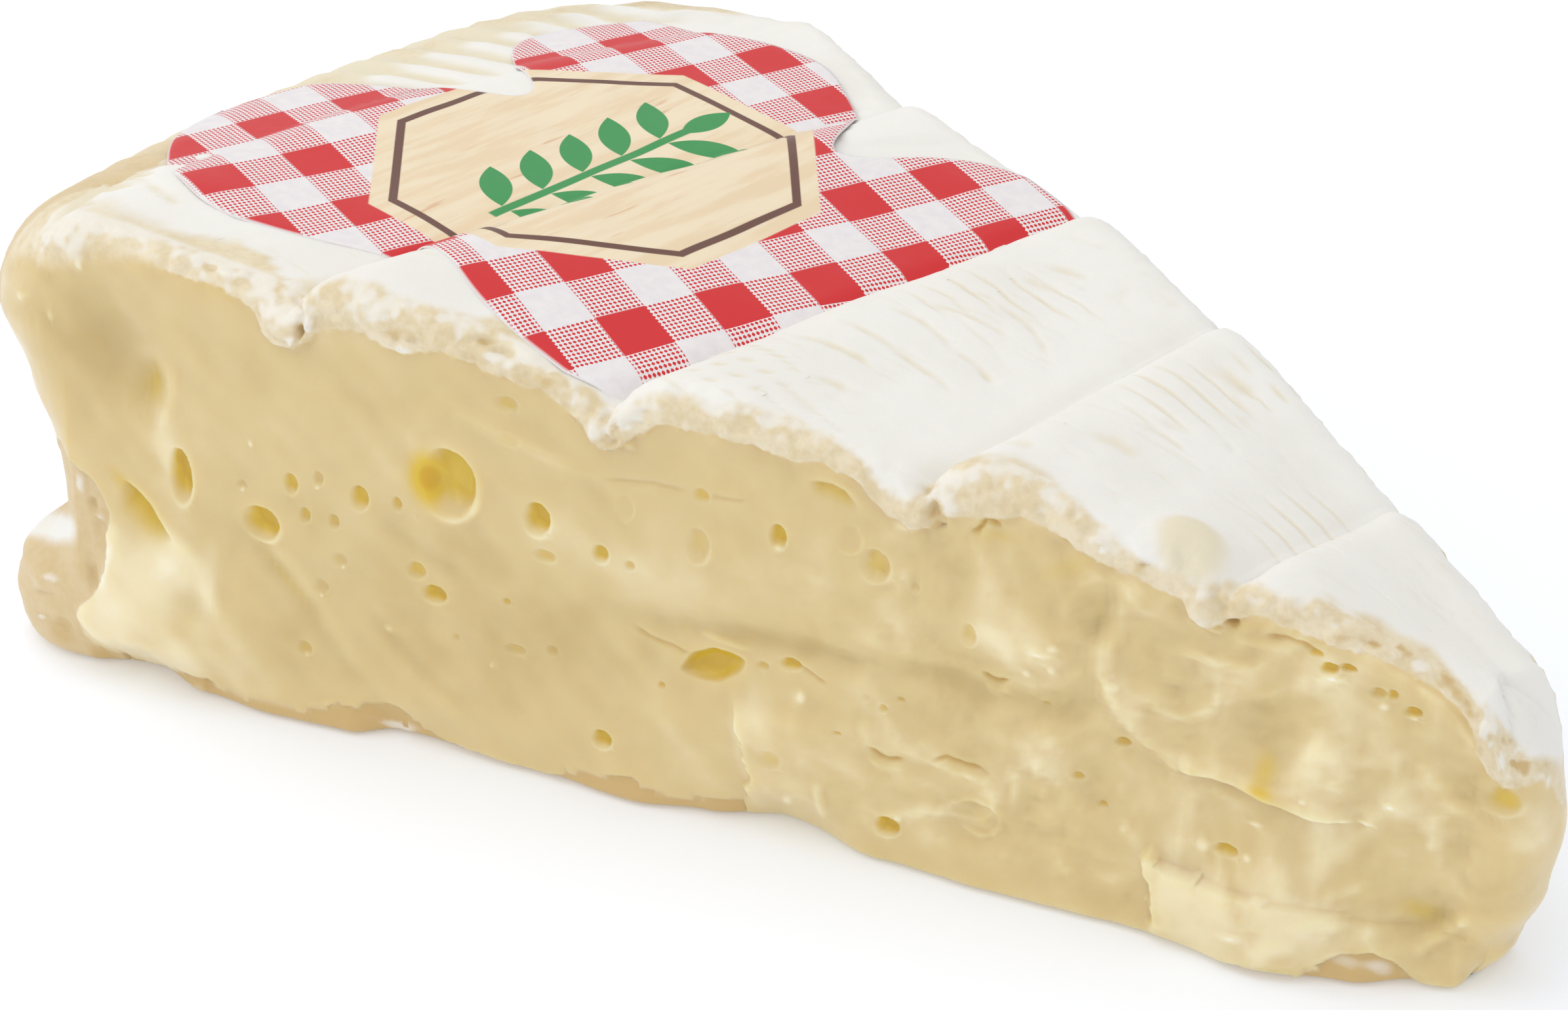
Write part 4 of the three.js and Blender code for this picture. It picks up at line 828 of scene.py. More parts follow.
def hollow_out(form, along, up):
    middle, height, length, tall, turn, depth = form
    u, v = turned(along, up, middle, height, turn)
    u, v = u / length, v / tall
    corner = np.abs(u) ** HOLLOW_SQUARE + np.abs(v + HOLLOW_SLANT * u) ** HOLLOW_SQUARE
    cup = np.clip(1 - corner**HOLLOW_FLAT, 0, 1)
    return -depth * cup, cup


# Folds and lumps: out and tone where the paste was cut smooth, then where it tore. The tone is painted light:
# painted highlight where they stand out, painted shade where they sink
PASTE_GRAIN = {
    "curds": (0, 0, 0.2, 0.12),
    "folds": (0, 0, 0.14, 0.3),
    "wet crumbs": (0, 0, 0.035, 0.12),
    "soft lumps": (0.07, 0.15, 0.16, 0.3),
    "small lumps": (0.02, 0.08, 0.08, 0.24),
    "drag": (0.08, 0.12, 0, 0),
}
CURD_LEVEL = 0.6
# Marks that the knife dragged into the paste: how long and how wide
DRAG_SIZE = (9, 2.2)
# The paste tore below 62 mm along the cut, above its foot and short of the tip
TORN_ALONG = (62, 36)
TORN_UP = (0.5, 3)
TORN_FROM_TIP = (6, 12)
# How far drawn forms wobble, how they show in relief, and the painted highlight on their ridges and painted
# shade in their grooves
STROKE_WOBBLE = 0.2
STROKE_RELIEF = 0.7
STROKE_SHADE_AND_HIGHLIGHT = 0.8
STEP_HIGHLIGHT = 0.3
GOUGE_WOBBLE = 0.1
EYE_JAG = 0.15
HOLLOW_JAG = 0.5
# Painted golden glow in the torn hollow and in the cracks, stronger where they are deeper
HOLLOW_GLOW = 0.9
CRACK_GLOW = 1.1
CRACK_GLOW_MOST = 0.35
GLINT_OUT = 0.14
# Painted highlight on each glint
GLINT_HIGHLIGHT = 0.8
TONE_RANGE = (-0.9, 1.5)


def near_relief(along, up, spot):
    """All that is torn, folded or bubbled on the near cut: out, painted golden glow, and how pale, partly its
    own tone and partly painted highlight and shade that follow the relief.
    """
    out = mounds_out(NEAR_MOUNDS, along, up)
    tone = uneven(spot, "paste tone") + mounds_out(TONE_AND_LIGHT_PATCHES, along, up)
    hollow_glow = np.zeros(along.shape)
    wobble = uneven(spot, "wobble")
    for stroke in NEAR_STROKES:
        drawn = stroke_out(stroke, along + STROKE_WOBBLE * wobble, up + STROKE_WOBBLE * wobble)
        out += STROKE_RELIEF * drawn
        # Painted highlight on a ridge, painted shade in a groove
        tone += STROKE_SHADE_AND_HIGHLIGHT * drawn
    jagged = along + uneven(spot, "step jag")
    for step in NEAR_STEPS:
        raised = step_out(step, jagged, up)
        out += raised
        # Painted highlight on the raised side of a step
        tone += STEP_HIGHLIGHT * raised
    for gouge in NEAR_GOUGES:
        hollow, colour = gouge_out(gouge, along + GOUGE_WOBBLE * wobble, up + GOUGE_WOBBLE * wobble)
        out += hollow
        hollow_glow = np.maximum(hollow_glow, colour)
    # Painted golden glow of light scattered in the paste, in its hollows, cracks and eyes
    for patch in GLOW_PATCHES:
        hollow_glow = np.maximum(hollow_glow, mounds_out([patch], along, up))
    jag = uneven(spot, "crack jag")
    for crack in NEAR_CRACKS:
        groove = stroke_out(crack, along + jag, up + jag)
        out += groove
        hollow_glow = np.maximum(hollow_glow, np.clip(-groove * CRACK_GLOW, 0, CRACK_GLOW_MOST))
    for eye in NEAR_EYES:
        cup, colour, pale = eye_out(eye, along + EYE_JAG * jag, up + EYE_JAG * jag)
        out += cup
        # Painted highlight on the eye's lip
        tone += pale
        hollow_glow = np.maximum(hollow_glow, colour)
    cup, colour = hollow_out(TORN_HOLLOW, along + HOLLOW_JAG * jag, up + HOLLOW_JAG * jag)
    out += cup
    hollow_glow = np.maximum(hollow_glow, colour * HOLLOW_GLOW)
    for middle, height, length, tall in GLINTS:
        glint = bell((along - middle) / length, (up - height) / tall)
        out += GLINT_OUT * glint
        # Painted highlight on the glint
        tone += GLINT_HIGHLIGHT * glint

    # Folds and lumps all over, stronger where the paste was torn towards the tip
    torn = smooth(*TORN_ALONG, along) * smooth(*TORN_UP, up) * smooth(*TORN_FROM_TIP, along)
    drift = spot + np.stack([uneven(spot, f"drift {axis}") for axis in range(3)], axis=1)
    slant = on_plan((along + up) / DRAG_SIZE[0], (along - up) / DRAG_SIZE[1])
    grain = {
        "curds": curds(drift, 5) - CURD_LEVEL,
        "folds": np.clip(1 - np.abs(uneven(drift, "folds")), 0, 1) ** 2,
        "wet crumbs": uneven(drift, "wet crumbs"),
        "soft lumps": uneven(spot, "soft lumps"),
        "small lumps": uneven(drift, "small lumps"),
        "drag": uneven(slant, "drag"),
    }
    for kind, (smooth_out, smooth_shade_and_highlight, torn_out, torn_shade_and_highlight) in PASTE_GRAIN.items():
        out += mix(smooth_out, torn_out, torn) * grain[kind]
        # Painted highlight where the folds and lumps stand out, painted shade where they sink
        tone += mix(smooth_shade_and_highlight, torn_shade_and_highlight, torn) * grain[kind]
    return out, hollow_glow, np.clip(tone, *TONE_RANGE)


RAGGED_SHARE = 0.8


def rind_of_near(along, up, spot):
    """How far above the band's edge, under the foot's edge and beyond the corner's edge a place lies."""
    ragged = uneven(spot, "ragged edge")
    band = up - broken_line(BAND_EDGE, along) + ragged
    foot = broken_line(FOOT_EDGE, along) - up + RAGGED_SHARE * ragged
    foot = np.where(along > FOOT_EDGE[-1][0], -1, foot)
    side = along - broken_line(SIDE_EDGE, up) + RAGGED_SHARE * ragged
    return band, foot, side


FAR_TORN_ALONG = (48, 26)
FAR_CURDS = 0.6
FAR_CURD_LEVEL = 0.4


def far_relief(along, up, spot):
    out = uneven(spot, "far cut")
    hollow_glow = np.zeros(along.shape)
    tone = uneven(spot, "far tone")
    # Eyes of the far cut, with their painted golden glow and the painted highlight on their lips
    for eye in FAR_EYES:
        cup, colour, pale = eye_out(eye, along, up)
        out += cup
        # Painted highlight on the eye's lip
        tone += pale
        hollow_glow = np.maximum(hollow_glow, colour)
    out += smooth(*FAR_TORN_ALONG, along) * (FAR_CURDS * curds(spot, 65) - FAR_CURD_LEVEL)
    return out, hollow_glow, tone


# Relief of the top and of the rim

# Creases are deeper near the cut, and have a low uneven lip towards the tip
CREASE_DEPTH = (0.8, 0.3)
CREASE_DEEP_SHARE = 0.35
CREASE_WIDTH = 0.75
CREASE_LIP_AT = 2.3
CREASE_LIP_WIDTH = 1.6
# Fingers: the radius of their measure, how sharp they are and where they begin
FINGER_RADIUS = 98
FINGER_SHARP = 1.4
FINGER_FADE = 4.5
FINGER_ANGLE = (-0.24, -0.2)
FINGER_LENGTH = 1.3
RIM_LINE_WIDTH = 1.2
# How deep the marks of the top lie, and how bare they are
GROOVE_DEPTH, GROOVE_BARE = 0.4, 0.85
BEYOND_DEPTH, BEYOND_BARE = 0.25, 0.8
RUB_DEPTH, RUB_BARE = 0.16, 0.75
STREAK_DEPTH, STREAK_BARE = 0.06, 0.3
RACK_DEPTH, RACK_BARE = 0.08, 0.62
PAPER_DEPTH = 0.28
PAPER_EDGE = (0.2, 1.4)
RUB_WIDTH = 1.25
RUB_EVEN = 0.75
RIB_TAPER = (-0.1, 0.3, 0.7, 1.1)
# The round nub: along and inside the near cut, then half its length and breadth
NUB_AT = (28.4, 1.7)
NUB_HALF = (2.2, 2)
STREAK_SIZE = (6, 0.55)
STREAK_TURN = 0.15
STREAK_SOFT = (0.3, 0.8)
RACK_TURN = 0.12
RACK_LINE = (0.5, 1)
RACK_PLACES = (-0.1, 0.5)
RACK_FROM = (-62, -57)
RACK_TO = (-20, -26)


def crease_gap(x, y, crease):
    """Distance from a crease, positive towards the tip, and the share of the way to the far cut."""
    near_end = NEAR_LINE * STATIONS[crease][0]
    far_end = FAR_LINE * STATIONS[crease][1]
    step = far_end - near_end
    length = np.linalg.norm(step)
    step = step / length
    away = (x - near_end[0]) * step[1] - (y - near_end[1]) * step[0]
    share = ((x - near_end[0]) * step[0] + (y - near_end[1]) * step[1]) / length
    return away, share


def top_forms(x, y):
    """Soft forms of the top, which the label follows too."""
    spot = on_plan(x, y)
    out = uneven(spot, "top")
    for crease in range(1, 5):
        away, share = crease_gap(x, y, crease)
        away = away + uneven(spot, f"crease {crease}")
        out -= mix(*CREASE_DEPTH, smooth(0, CREASE_DEEP_SHARE, share)) * bell(away / CREASE_WIDTH)
        out += bell((away - CREASE_LIP_AT) / CREASE_LIP_WIDTH) * uneven(spot, "crease lip")
    return out


def rim_fingers(x, y):
    """Bare grooves between the white fingers of the rim's top, and the bare rim beyond them."""
    spot = on_plan(x, y)
    reach = np.hypot(x, y)
    angle = np.arctan2(y, -x)
    around = (angle * FINGER_RADIUS + FINGER_TWIST * (reach - FINGER_RADIUS)) / FINGER_PITCH
    furrow = 0.5 + 0.5 * np.cos((around + uneven(spot, "finger sway")) * 2 * math.pi)
    start = smooth(FINGER_FROM, FINGER_FROM + FINGER_FADE, reach + uneven(spot, "finger reach"))
    groove = furrow**FINGER_SHARP * start * smooth(*FINGER_ANGLE, angle)
    tips = reach + FINGER_LENGTH * (furrow - 0.5) + uneven(spot, "rim line")
    return groove, smooth(FINGER_TIP, FINGER_TIP + RIM_LINE_WIDTH, tips)


def label_end(across, aside):
    """Where the label ends at the rim, with a waist in the middle."""
    waist = bell((aside - LABEL_WAIST_AT) / LABEL_WAIST_BREADTH)
    return mix(LABEL_END_NEAR, LABEL_END_FAR, across) + LABEL_WAIST * waist


def label_sides(station, half):
    """How far the label reaches to the near and to the far side."""
    near_side = np.minimum(label_half_width(station, LABEL_NEAR_LOBES), half - LABEL_NEAR_MARGIN)
    return near_side, np.minimum(label_half_width(station, LABEL_FAR_LOBES), half - LABEL_FAR_MARGIN)


def inside_label(x, y):
    """How far inside the label's outline a place of the top lies, below zero outside it."""
    reach = np.hypot(x, y)
    station = mix(-x / math.cos(HALF_ANGLE), reach, bow_of(reach))
    half = station * math.sin(HALF_ANGLE)
    near_side, far_side = label_sides(station, half)
    across = np.clip((y / half + 1) / 2, 0, 1)
    at = label_end(across, (y + near_side) / (near_side + far_side))
    first, second, third = [mix(line[0], line[1], across) for line in STATIONS[:3]]
    end = np.where(at < 0, mix(first, LABEL_REACH, -at), mix(first, second, at))
    return np.minimum.reduce([near_side + y, far_side - y, end - station, station - third])


def top_relief(x, y):
    """How far the top stands up, how bare it is and where its nub is."""
    spot = on_plan(x, y)
    groove, beyond = rim_fingers(x, y)
    nub = NEAR_LINE * NUB_AT[0] - NEAR_OUT * NUB_AT[1]
    nubbed = blob((x - nub[0]) / NUB_HALF[0], (y - nub[1]) / NUB_HALF[1])
    out = top_forms(x, y) - GROOVE_DEPTH * groove - BEYOND_DEPTH * beyond + uneven(spot, "mould") + nubbed
    bare = np.maximum(GROOVE_BARE * groove, BEYOND_BARE * beyond)
    patchy = RUB_EVEN + uneven(spot, "rub")
    for width, strength, points in TOP_RIBS:
        gap, share, _ = beside_stroke(points, x, y)
        rub = bell(gap / (RUB_WIDTH * width)) * taper(share, *RIB_TAPER) * patchy
        out -= RUB_DEPTH * strength * rub
        bare = np.maximum(bare, RUB_BARE * strength * rub)
    length, width = STREAK_SIZE
    streaks = on_plan((x + STREAK_TURN * y) / length, (y - STREAK_TURN * x) / width)
    streak = smooth(*STREAK_SOFT, uneven(streaks, "streaks"))
    # Faint lines that the rack pressed in, from place to place
    rows = np.cos(2 * math.pi * (y + RACK_TURN * x + uneven(spot, "rack sway")) / RACK_PITCH)
    pressed = smooth(*RACK_LINE, rows) * smooth(*RACK_PLACES, uneven(spot, "rack places"))
    pressed = pressed * smooth(*RACK_FROM, x) * smooth(*RACK_TO, x)
    out -= STREAK_DEPTH * streak + RACK_DEPTH * pressed
    out -= PAPER_DEPTH * smooth(*PAPER_EDGE, inside_label(x, y))
    bare = np.maximum(bare, RACK_BARE * pressed)
    return out, np.maximum(bare, STREAK_BARE * streak), nubbed


# The mesh of the cheese

# Walls beyond this inset belong to the top
ON_WALL = 1e-6
ON_WALL_SHARE = 0.5


def ring_of(rows, columns):
    """Places of the grid round its outline: along the near cut, the tip, the far cut and the rim."""
    near = [(i, 0) for i in range(rows)]
    tip = [(rows - 1, j) for j in range(1, columns)]
    far = [(i, columns - 1) for i in range(rows - 2, -1, -1)]
    rim = [(0, j) for j in range(columns - 2, 0, -1)]
    return np.array(near + tip + far + rim)


def height_of(place):
    """Height of every place: a share of the wall, or the rounded top where it lies inside."""
    edge = place["height"] - place["shoulder"]
    over = place["height"] - rounding_drop(place["shoulder"], place["inset"])
    return np.where(place["inset"] > ON_WALL, over, edge * place["climb"])


def on_cut_plane(place, up):
    """Where places near the cut show on its plane, seen from where its forms were measured."""
    middle, gap, height = MEASURED_FROM
    stand = wall_out(place, up) * place["level"] * np.where(place["inset"] > ON_WALL, ON_WALL_SHARE, 1)
    point = place["point"] + place["out"] * stand[:, None]
    share = point @ NEAR_OUT / (gap - point @ NEAR_OUT)
    along = point @ NEAR_LINE
    return along + (along - middle) * share, up - (height - up) * share


FORM_NAMES = ("out", "hollow_glow", "tone", "band", "foot", "side", "curl", "fold", "bit", "bit_tone", "white")
# Values far from the edge round the near corner, and far inside the mould
FAR_FROM_CORNER = -5
INSIDE_BLOOM = 9
# Over the tip, the forms of the near cut give way to the far cut's between these places
TIP_CHANGE = (2, -1)
# The near cut's forms are worked out up to this far beyond the middle
NEAR_TOP_TO = 6
# The band of the far cut: how tall it is, and how much taller at the tip
FAR_BAND = 2.8
TIP_BAND = 5
FAR_FOOT = 1.1


def near_forms(along, up, spot):
    """Forms and edges on the near cut and on the rind above it."""
    bit = np.zeros(len(along))
    bit_tone = np.zeros(len(along))
    jag = uneven(spot, "crumb jag")
    for middle, height, length, tall, amount, pale in RIND_BITS:
        form = blob((along - middle + jag) / length, (up - height + jag) / tall)
        bit += amount * form
        bit_tone += pale * form
    fold = sum(stroke_out(stroke, along, up) for stroke in CURL_FOLDS)
    white = up - broken_line(BLOOM_EDGE, along) + uneven(spot, "bloom edge")
    curl = mounds_out(CURLS, along, up)
    return (*near_relief(along, up, spot), *rind_of_near(along, up, spot), curl, fold, bit, bit_tone, white)


def forms_of(at):
    """Forms and edges of all places, those of the two cuts mixed over the tip."""
    forms = {name: np.zeros(len(at["up"])) for name in FORM_NAMES}
    forms["side"][:] = FAR_FROM_CORNER
    forms["white"][:] = INSIDE_BLOOM
    picked = np.nonzero((at["walls"] & (at["nearness"] > 0)) | (at["point"][:, 1] < NEAR_TOP_TO))[0]
    found = near_forms(at["seen_along"][picked], at["seen_up"][picked], at["spot"][picked])
    for name, values in zip(FORM_NAMES, found):
        forms[name][picked] = values if name == "white" else values * at["nearness"][picked]

    picked = np.nonzero(at["walls"] & (at["nearness"] < 1))[0]
    there = take(at, picked)
    up, spot = there["up"], there["spot"]
    relief = far_relief(np.linalg.norm(there["point"], axis=1), up, spot)
    band = up - there["height"] + FAR_BAND + uneven(spot, "far band") + TIP_BAND * there["tip"]
    foot = FAR_FOOT + uneven(spot, "far foot") - up
    for name, values in zip(FORM_NAMES, (*relief, band, foot)):
        forms[name][picked] += values * (1 - there["nearness"])
    return forms


# Soft edges of the rinds: where each begins and where it is full
FOOT_SOFT = (-0.1, 0.2)
SIDE_SOFT = (-0.12, 0.2)
NEAR_RIM_SOFT = (0.6, 0.7)
FAR_RIM_SOFT = (0.3, 0.5)
BAND_SOFT = (-0.3, 0.42)
# Beside the rim corner the band fades softer into the paste, between these places
CORNER_SOFTER = 9
CORNER_ALONG = (93, 98.5)
SHOULDER_SKIN = (0.95, 0.6)
FOOT_WALL = 0.999
# How the rinds calm the relief of the paste, and how far they lie back
UNDER_BAND = 0.8
UNDER_FOOT = 0.7
FOOT_BACK = 0.25
FOLD_BELOW = 0.3
CORNER_BACK = 0.3
CORNER_BACK_SOFT = (-0.1, 0.5)
CORNER_BACK_RIM = (0.2, 0.6)
RIM_RELIEF = (0.4, 0.9)
TIP_CALM = 0.8


def skins_of(at, forms):
    """How much each place is covered by each of the rinds, and by any."""
    rim, near, walls, straight = at["rim"], at["near"], at["walls"], at["straight"]
    far_side = smooth(*FAR_RIM_SOFT, rim + uneven(at["spot"], "rim edge"))
    near_side = np.maximum(smooth(*SIDE_SOFT, forms["side"]), smooth(*NEAR_RIM_SOFT, rim))
    side = np.where(near, near_side, far_side)
    softness = mix(1, CORNER_SOFTER, smooth(*CORNER_ALONG, at["seen_along"]) * near)
    band = smooth(BAND_SOFT[0] * softness, BAND_SOFT[1] * softness, forms["band"]) * walls
    foot = smooth(*FOOT_SOFT, forms["foot"]) * (straight > FOOT_WALL)
    skin = np.maximum.reduce([band, foot, side, smooth(*SHOULDER_SKIN, straight)])
    return {"band": band, "foot": foot, "side": side, "any": skin}


def relief_of(at, forms, skins):
    """How far the walls' surface stands out from their plain shape."""
    band, rim, spot = skins["band"], at["rim"], at["spot"]
    band_out = (BAND_OUT + uneven(spot, "crust") + forms["curl"]) * band
    band_out = band_out + forms["fold"] * np.maximum(band, FOLD_BELOW)
    cut_out = forms["out"] * (1 - UNDER_BAND * band) * (1 - UNDER_FOOT * skins["foot"])
    cut_out = cut_out + band_out - FOOT_BACK * skins["foot"]
    corner = smooth(*CORNER_BACK_SOFT, forms["side"]) * (1 - smooth(*CORNER_BACK_RIM, rim)) * at["near"]
    relief = mix(cut_out, uneven(spot, "rind"), smooth(*RIM_RELIEF, rim))
    relief = relief + forms["bit"] * at["walls"] - CORNER_BACK * corner
    return relief * (1 - TIP_CALM * at["tip"])


# Edge of the mould over the near cut, softer beside the rim corner
BLOOM_SOFT = (-0.5, 1.3)
BLOOM_SOFTER = 2.6
BLOOM_CORNER = (91, 97)
# Edge of the mould over the far cut, down from the top, and its shift at the tip
FAR_BLOOM = (1.6, 0.7)
TIP_BLOOM_SHIFT = 4
TIP_BLOOM_RAGGED = 2
OFF_RIM = (0.1, 0.4)
# Patches of mould on the rim, fewer towards the near corner
RIM_BLOOM_LEAST = 0.35
RIM_BLOOM_MORE = 0.5
RIM_BLOOM_PATCH = (-0.3, 0.4)
RIM_BLOOM_SOFT = (0.55, 0.9)
RIM_BLOOM_CORNER = 0.15
NEAR_CORNER_Y = (-12, -27)
# A white hump, a peach spot and an amber strip by the rim: height, half height, along
HUMP_UP, HUMP_TALL, HUMP_ALONG = 10.8, 1.3, (101.9, 103.4)
PEACH_UP, PEACH_TALL, PEACH_ALONG, PEACH_LONG = 2.5, 1.2, 104.5, 1.6
AMBER_UP, AMBER_START, AMBER_END = (3.2, 1.6), (99, 101), (104, 102)
# How the rind's tone follows what lies under it
SKIN_TONE = 0.2
PEACH_TONE = 0.35
AMBER_TONE = 0.3
TIP_FLAKES = (22, 14)
TIP_FLAKES_LEAST = 0.1
TIP_FLAKES_MORE = 0.9
# The band is paler towards the rim and towards its upper edge
PALE_RIM, PALE_RIM_ALONG = 0.35, (82, 92)
PALE_UPPER, PALE_UPPER_BAND = 0.45, (0.5, 2.2)
PALE_LESS = 0.05
SKIN_TONE_RANGE = (-0.9, 0.55)
SPECK = -1.5
# Painted highlight where the paste bulges and painted shade where it sinks
RELIEF_SHADE_AND_HIGHLIGHT = 0.22
BIT_TONE = 0.7
TONE_CHANGE = (0.3, 0.7)
# How much the painted golden glow fades under the rind
GLOW_UNDER_SKIN = 0.8
TOP_BARE = (0.9, 0.6)
NUB_BARE = 0.95
NUB_TOP = (0.999, 0.9)
TORN_MASK = (64, 40)
CORNER_FOOT = 0.6


def bloom_of(at, forms, skins, by_corner):
    """Where the white mould covers the rind."""
    near, walls, rim, tip = at["near"], at["walls"], at["rim"], at["tip"]
    softness = mix(1, BLOOM_SOFTER, smooth(*BLOOM_CORNER, at["seen_along"]))
    near_bloom = smooth(BLOOM_SOFT[0] * softness, BLOOM_SOFT[1] * softness, forms["white"])
    ragged = uneven(at["spot"], "far bloom") * (1 + TIP_BLOOM_RAGGED * tip)
    below = at["height"] - at["up"] - TIP_BLOOM_SHIFT * tip + ragged
    far_bloom = smooth(FAR_BLOOM[0] + tip, FAR_BLOOM[1] - tip, below)
    bloom = np.where(near | walls, mix(far_bloom, near_bloom, at["nearness"]), 1)
    bloom = bloom * (1 - smooth(*OFF_RIM, rim) * walls)
    patches = RIM_BLOOM_LEAST + RIM_BLOOM_MORE * smooth(*RIM_BLOOM_PATCH, uneven(at["spot"], "rim bloom"))
    patches = patches * smooth(*RIM_BLOOM_SOFT, rim) * mix(1, RIM_BLOOM_CORNER, by_corner)
    hump = bell((at["seen_up"] - HUMP_UP) / HUMP_TALL) * smooth(*HUMP_ALONG, at["seen_along"]) * near
    return np.where(walls, np.maximum(bloom, np.maximum(patches, hump) * skins["side"]), bloom)


def tone_of(at, forms, skins, peach, amber):
    """How pale or deep the paste and the rind are, with painted highlight on bulges and painted shade in
    hollows and eyes.
    """
    near, band, walls = at["near"], skins["band"], at["walls"]
    along, up = at["seen_along"], at["seen_up"]
    off_rim = 1 - smooth(*OFF_RIM, at["rim"])
    flakes = uneven(at["spot"], "flakes")
    paler = PALE_RIM * smooth(*PALE_RIM_ALONG, along) + PALE_UPPER * smooth(*PALE_UPPER_BAND, forms["band"])
    at_tip = (TIP_FLAKES_LEAST + TIP_FLAKES_MORE * flakes) * smooth(*TIP_FLAKES, along)
    skin = SKIN_TONE * forms["tone"] - PEACH_TONE * peach - AMBER_TONE * amber
    skin = skin + band * (flakes * off_rim + at_tip * near + (paler - PALE_LESS) * near * off_rim)
    skin = np.clip(skin + forms["bit_tone"], *SKIN_TONE_RANGE)
    skin = np.where(forms["bit_tone"] < SPECK, forms["bit_tone"], skin)
    # Painted light that follows the relief: paler on bulges and swells, darker in hollows and eyes
    relief_shaded = forms["tone"] + RELIEF_SHADE_AND_HIGHLIGHT * (forms["out"] + mounds_out(NEAR_SWELLS, along, up))
    paste = relief_shaded + BIT_TONE * forms["bit_tone"]
    return np.where(walls, mix(paste, skin, smooth(*TONE_CHANGE, skins["any"])), 0)


def dressed(place):
    """Final positions and masks of all places."""
    up = height_of(place)
    x, y = place["point"].T
    seen_along, seen_up = on_cut_plane(place, up)
    straight = np.clip((place["shoulder"] - place["inset"]) / place["shoulder"], 0, 1)
    near = y < 0
    walls = straight > 0
    at = dict(place, up=up, seen_along=seen_along, seen_up=seen_up, straight=straight, near=near, walls=walls)
    at["spot"] = np.column_stack([x, y, up])
    at["nearness"] = np.where(place["tip"] > 0, smooth(*TIP_CHANGE, y), near.astype(float))
    forms = forms_of(at)
    skins = skins_of(at, forms)

    rounding = np.maximum(FOOT_ROUNDING - up, 0)
    foot_back = FOOT_ROUNDING - np.sqrt(np.maximum(FOOT_ROUNDING**2 - rounding**2, 0))
    top, bare, nubbed = top_relief(x, y)
    relief = mix(top, relief_of(at, forms, skins), straight)
    push = wall_out(place, up) * place["level"] - foot_back + relief * straight
    lift = relief * np.sqrt(np.maximum(1 - straight**2, 0))
    position = np.column_stack([place["point"] + place["out"] * push[:, None], np.maximum(up + lift, 0)])

    by_corner = smooth(*NEAR_CORNER_Y, y + uneven(at["spot"], "corner"))
    peach = bell((seen_up - PEACH_UP) / PEACH_TALL, (seen_along - PEACH_ALONG) / PEACH_LONG) * near
    amber = smooth(*AMBER_START, seen_along) * smooth(*AMBER_END, seen_along)
    amber = amber * smooth(*AMBER_UP, seen_up) * near
    nub = NUB_BARE * nubbed * smooth(*NUB_TOP, straight)
    corner = CORNER_FOOT * skins["side"] * by_corner
    torn = smooth(*TORN_MASK, np.where(near, seen_along, -x)) * (1 - skins["band"])
    masks = {
        "rind": skins["any"],
        "bloom": bloom_of(at, forms, skins, by_corner),
        # Painted golden glow of the paste's hollows, less under the rind
        "hollow_glow": forms["hollow_glow"] * (1 - GLOW_UNDER_SKIN * skins["any"]),
        # Tone of the paste and rind: partly their own, partly painted highlight and painted shade
        "tone": tone_of(at, forms, skins, peach, amber),
        "bare": np.maximum(bare * smooth(*TOP_BARE, straight), nub),
        "torn": np.where(walls, torn, 0),
        "foot": np.maximum.reduce([skins["foot"] * walls, peach, amber, corner]),
    }
    return position, masks


def take(grid, picks):
    return {name: values[picks] for name, values in grid.items()}


# How close to a small form the mesh is divided once and twice, as a share of its size
FORM_MARGIN = 0.3
EYE_CLOSE = (1.35, 1.1)
BIT_CLOSE = (1.4, 0)
HOLLOW_CLOSE = (1.4, 1.2)
# The same in millimetres, for drawn lines, edges of the rinds and rubbed streaks
LINE_CLOSE = (0.9, 0.4)
BAND_CLOSE = (-0.8, 0.3)
SIDE_CLOSE = (0.9, 0.3)
FOOT_CLOSE = 0.7
FOOT_SEEN = 0.3
RIB_CLOSE = 0.5
# Reach of the near cut's forms over its edges
CUT_TO_Y = 1
CUT_INSET = 1.5
CUT_RIM = 0.9


def fineness(places):
    """How finely the near cut is divided, 1 or 2 where small forms or edges lie, and the top."""
    along, up = on_cut_plane(places, height_of(places))
    x, y = places["point"].T
    on_cut = (y < CUT_TO_Y) & (places["inset"] < CUT_INSET) & (places["rim"] < CUT_RIM)
    gaps = []
    for forms, close in ((NEAR_EYES, EYE_CLOSE), (GLINTS, EYE_CLOSE), (RIND_BITS, BIT_CLOSE)):
        for middle, height, length, tall in [form[:4] for form in forms]:
            far = np.hypot((along - middle) / (length + FORM_MARGIN), (up - height) / (tall + FORM_MARGIN))
            gaps.append((far, close))
    gaps.append((np.hypot(along - TORN_HOLLOW[0], up - TORN_HOLLOW[1]) / TORN_HOLLOW[2], HOLLOW_CLOSE))
    for drawn in NEAR_CRACKS + CURL_FOLDS + NEAR_GOUGES + NEAR_STEPS:
        gaps.append((beside_stroke(drawn[-1], along, up)[0], LINE_CLOSE))
    gaps.append((np.abs(along - broken_line(SIDE_EDGE, up)), SIDE_CLOSE))
    band = up - broken_line(BAND_EDGE, along)
    foot = broken_line(FOOT_EDGE, along)
    rinds = (band > BAND_CLOSE[0]) | ((up < foot + FOOT_CLOSE) & (foot > FOOT_SEEN))
    grades = [rinds.astype(int) + (np.abs(band) < BAND_CLOSE[1])]
    grades += [(gap < close[0]).astype(int) + (gap < close[1]) for gap, close in gaps]
    rubbed = np.zeros(len(up), bool)
    for width, _, points in TOP_RIBS:
        rubbed |= beside_stroke(points, x, y)[0] < width + RIB_CLOSE
    rubbed &= places["inset"] > CUT_INSET
    return np.where(on_cut, np.maximum.reduce(grades), rubbed.astype(int))


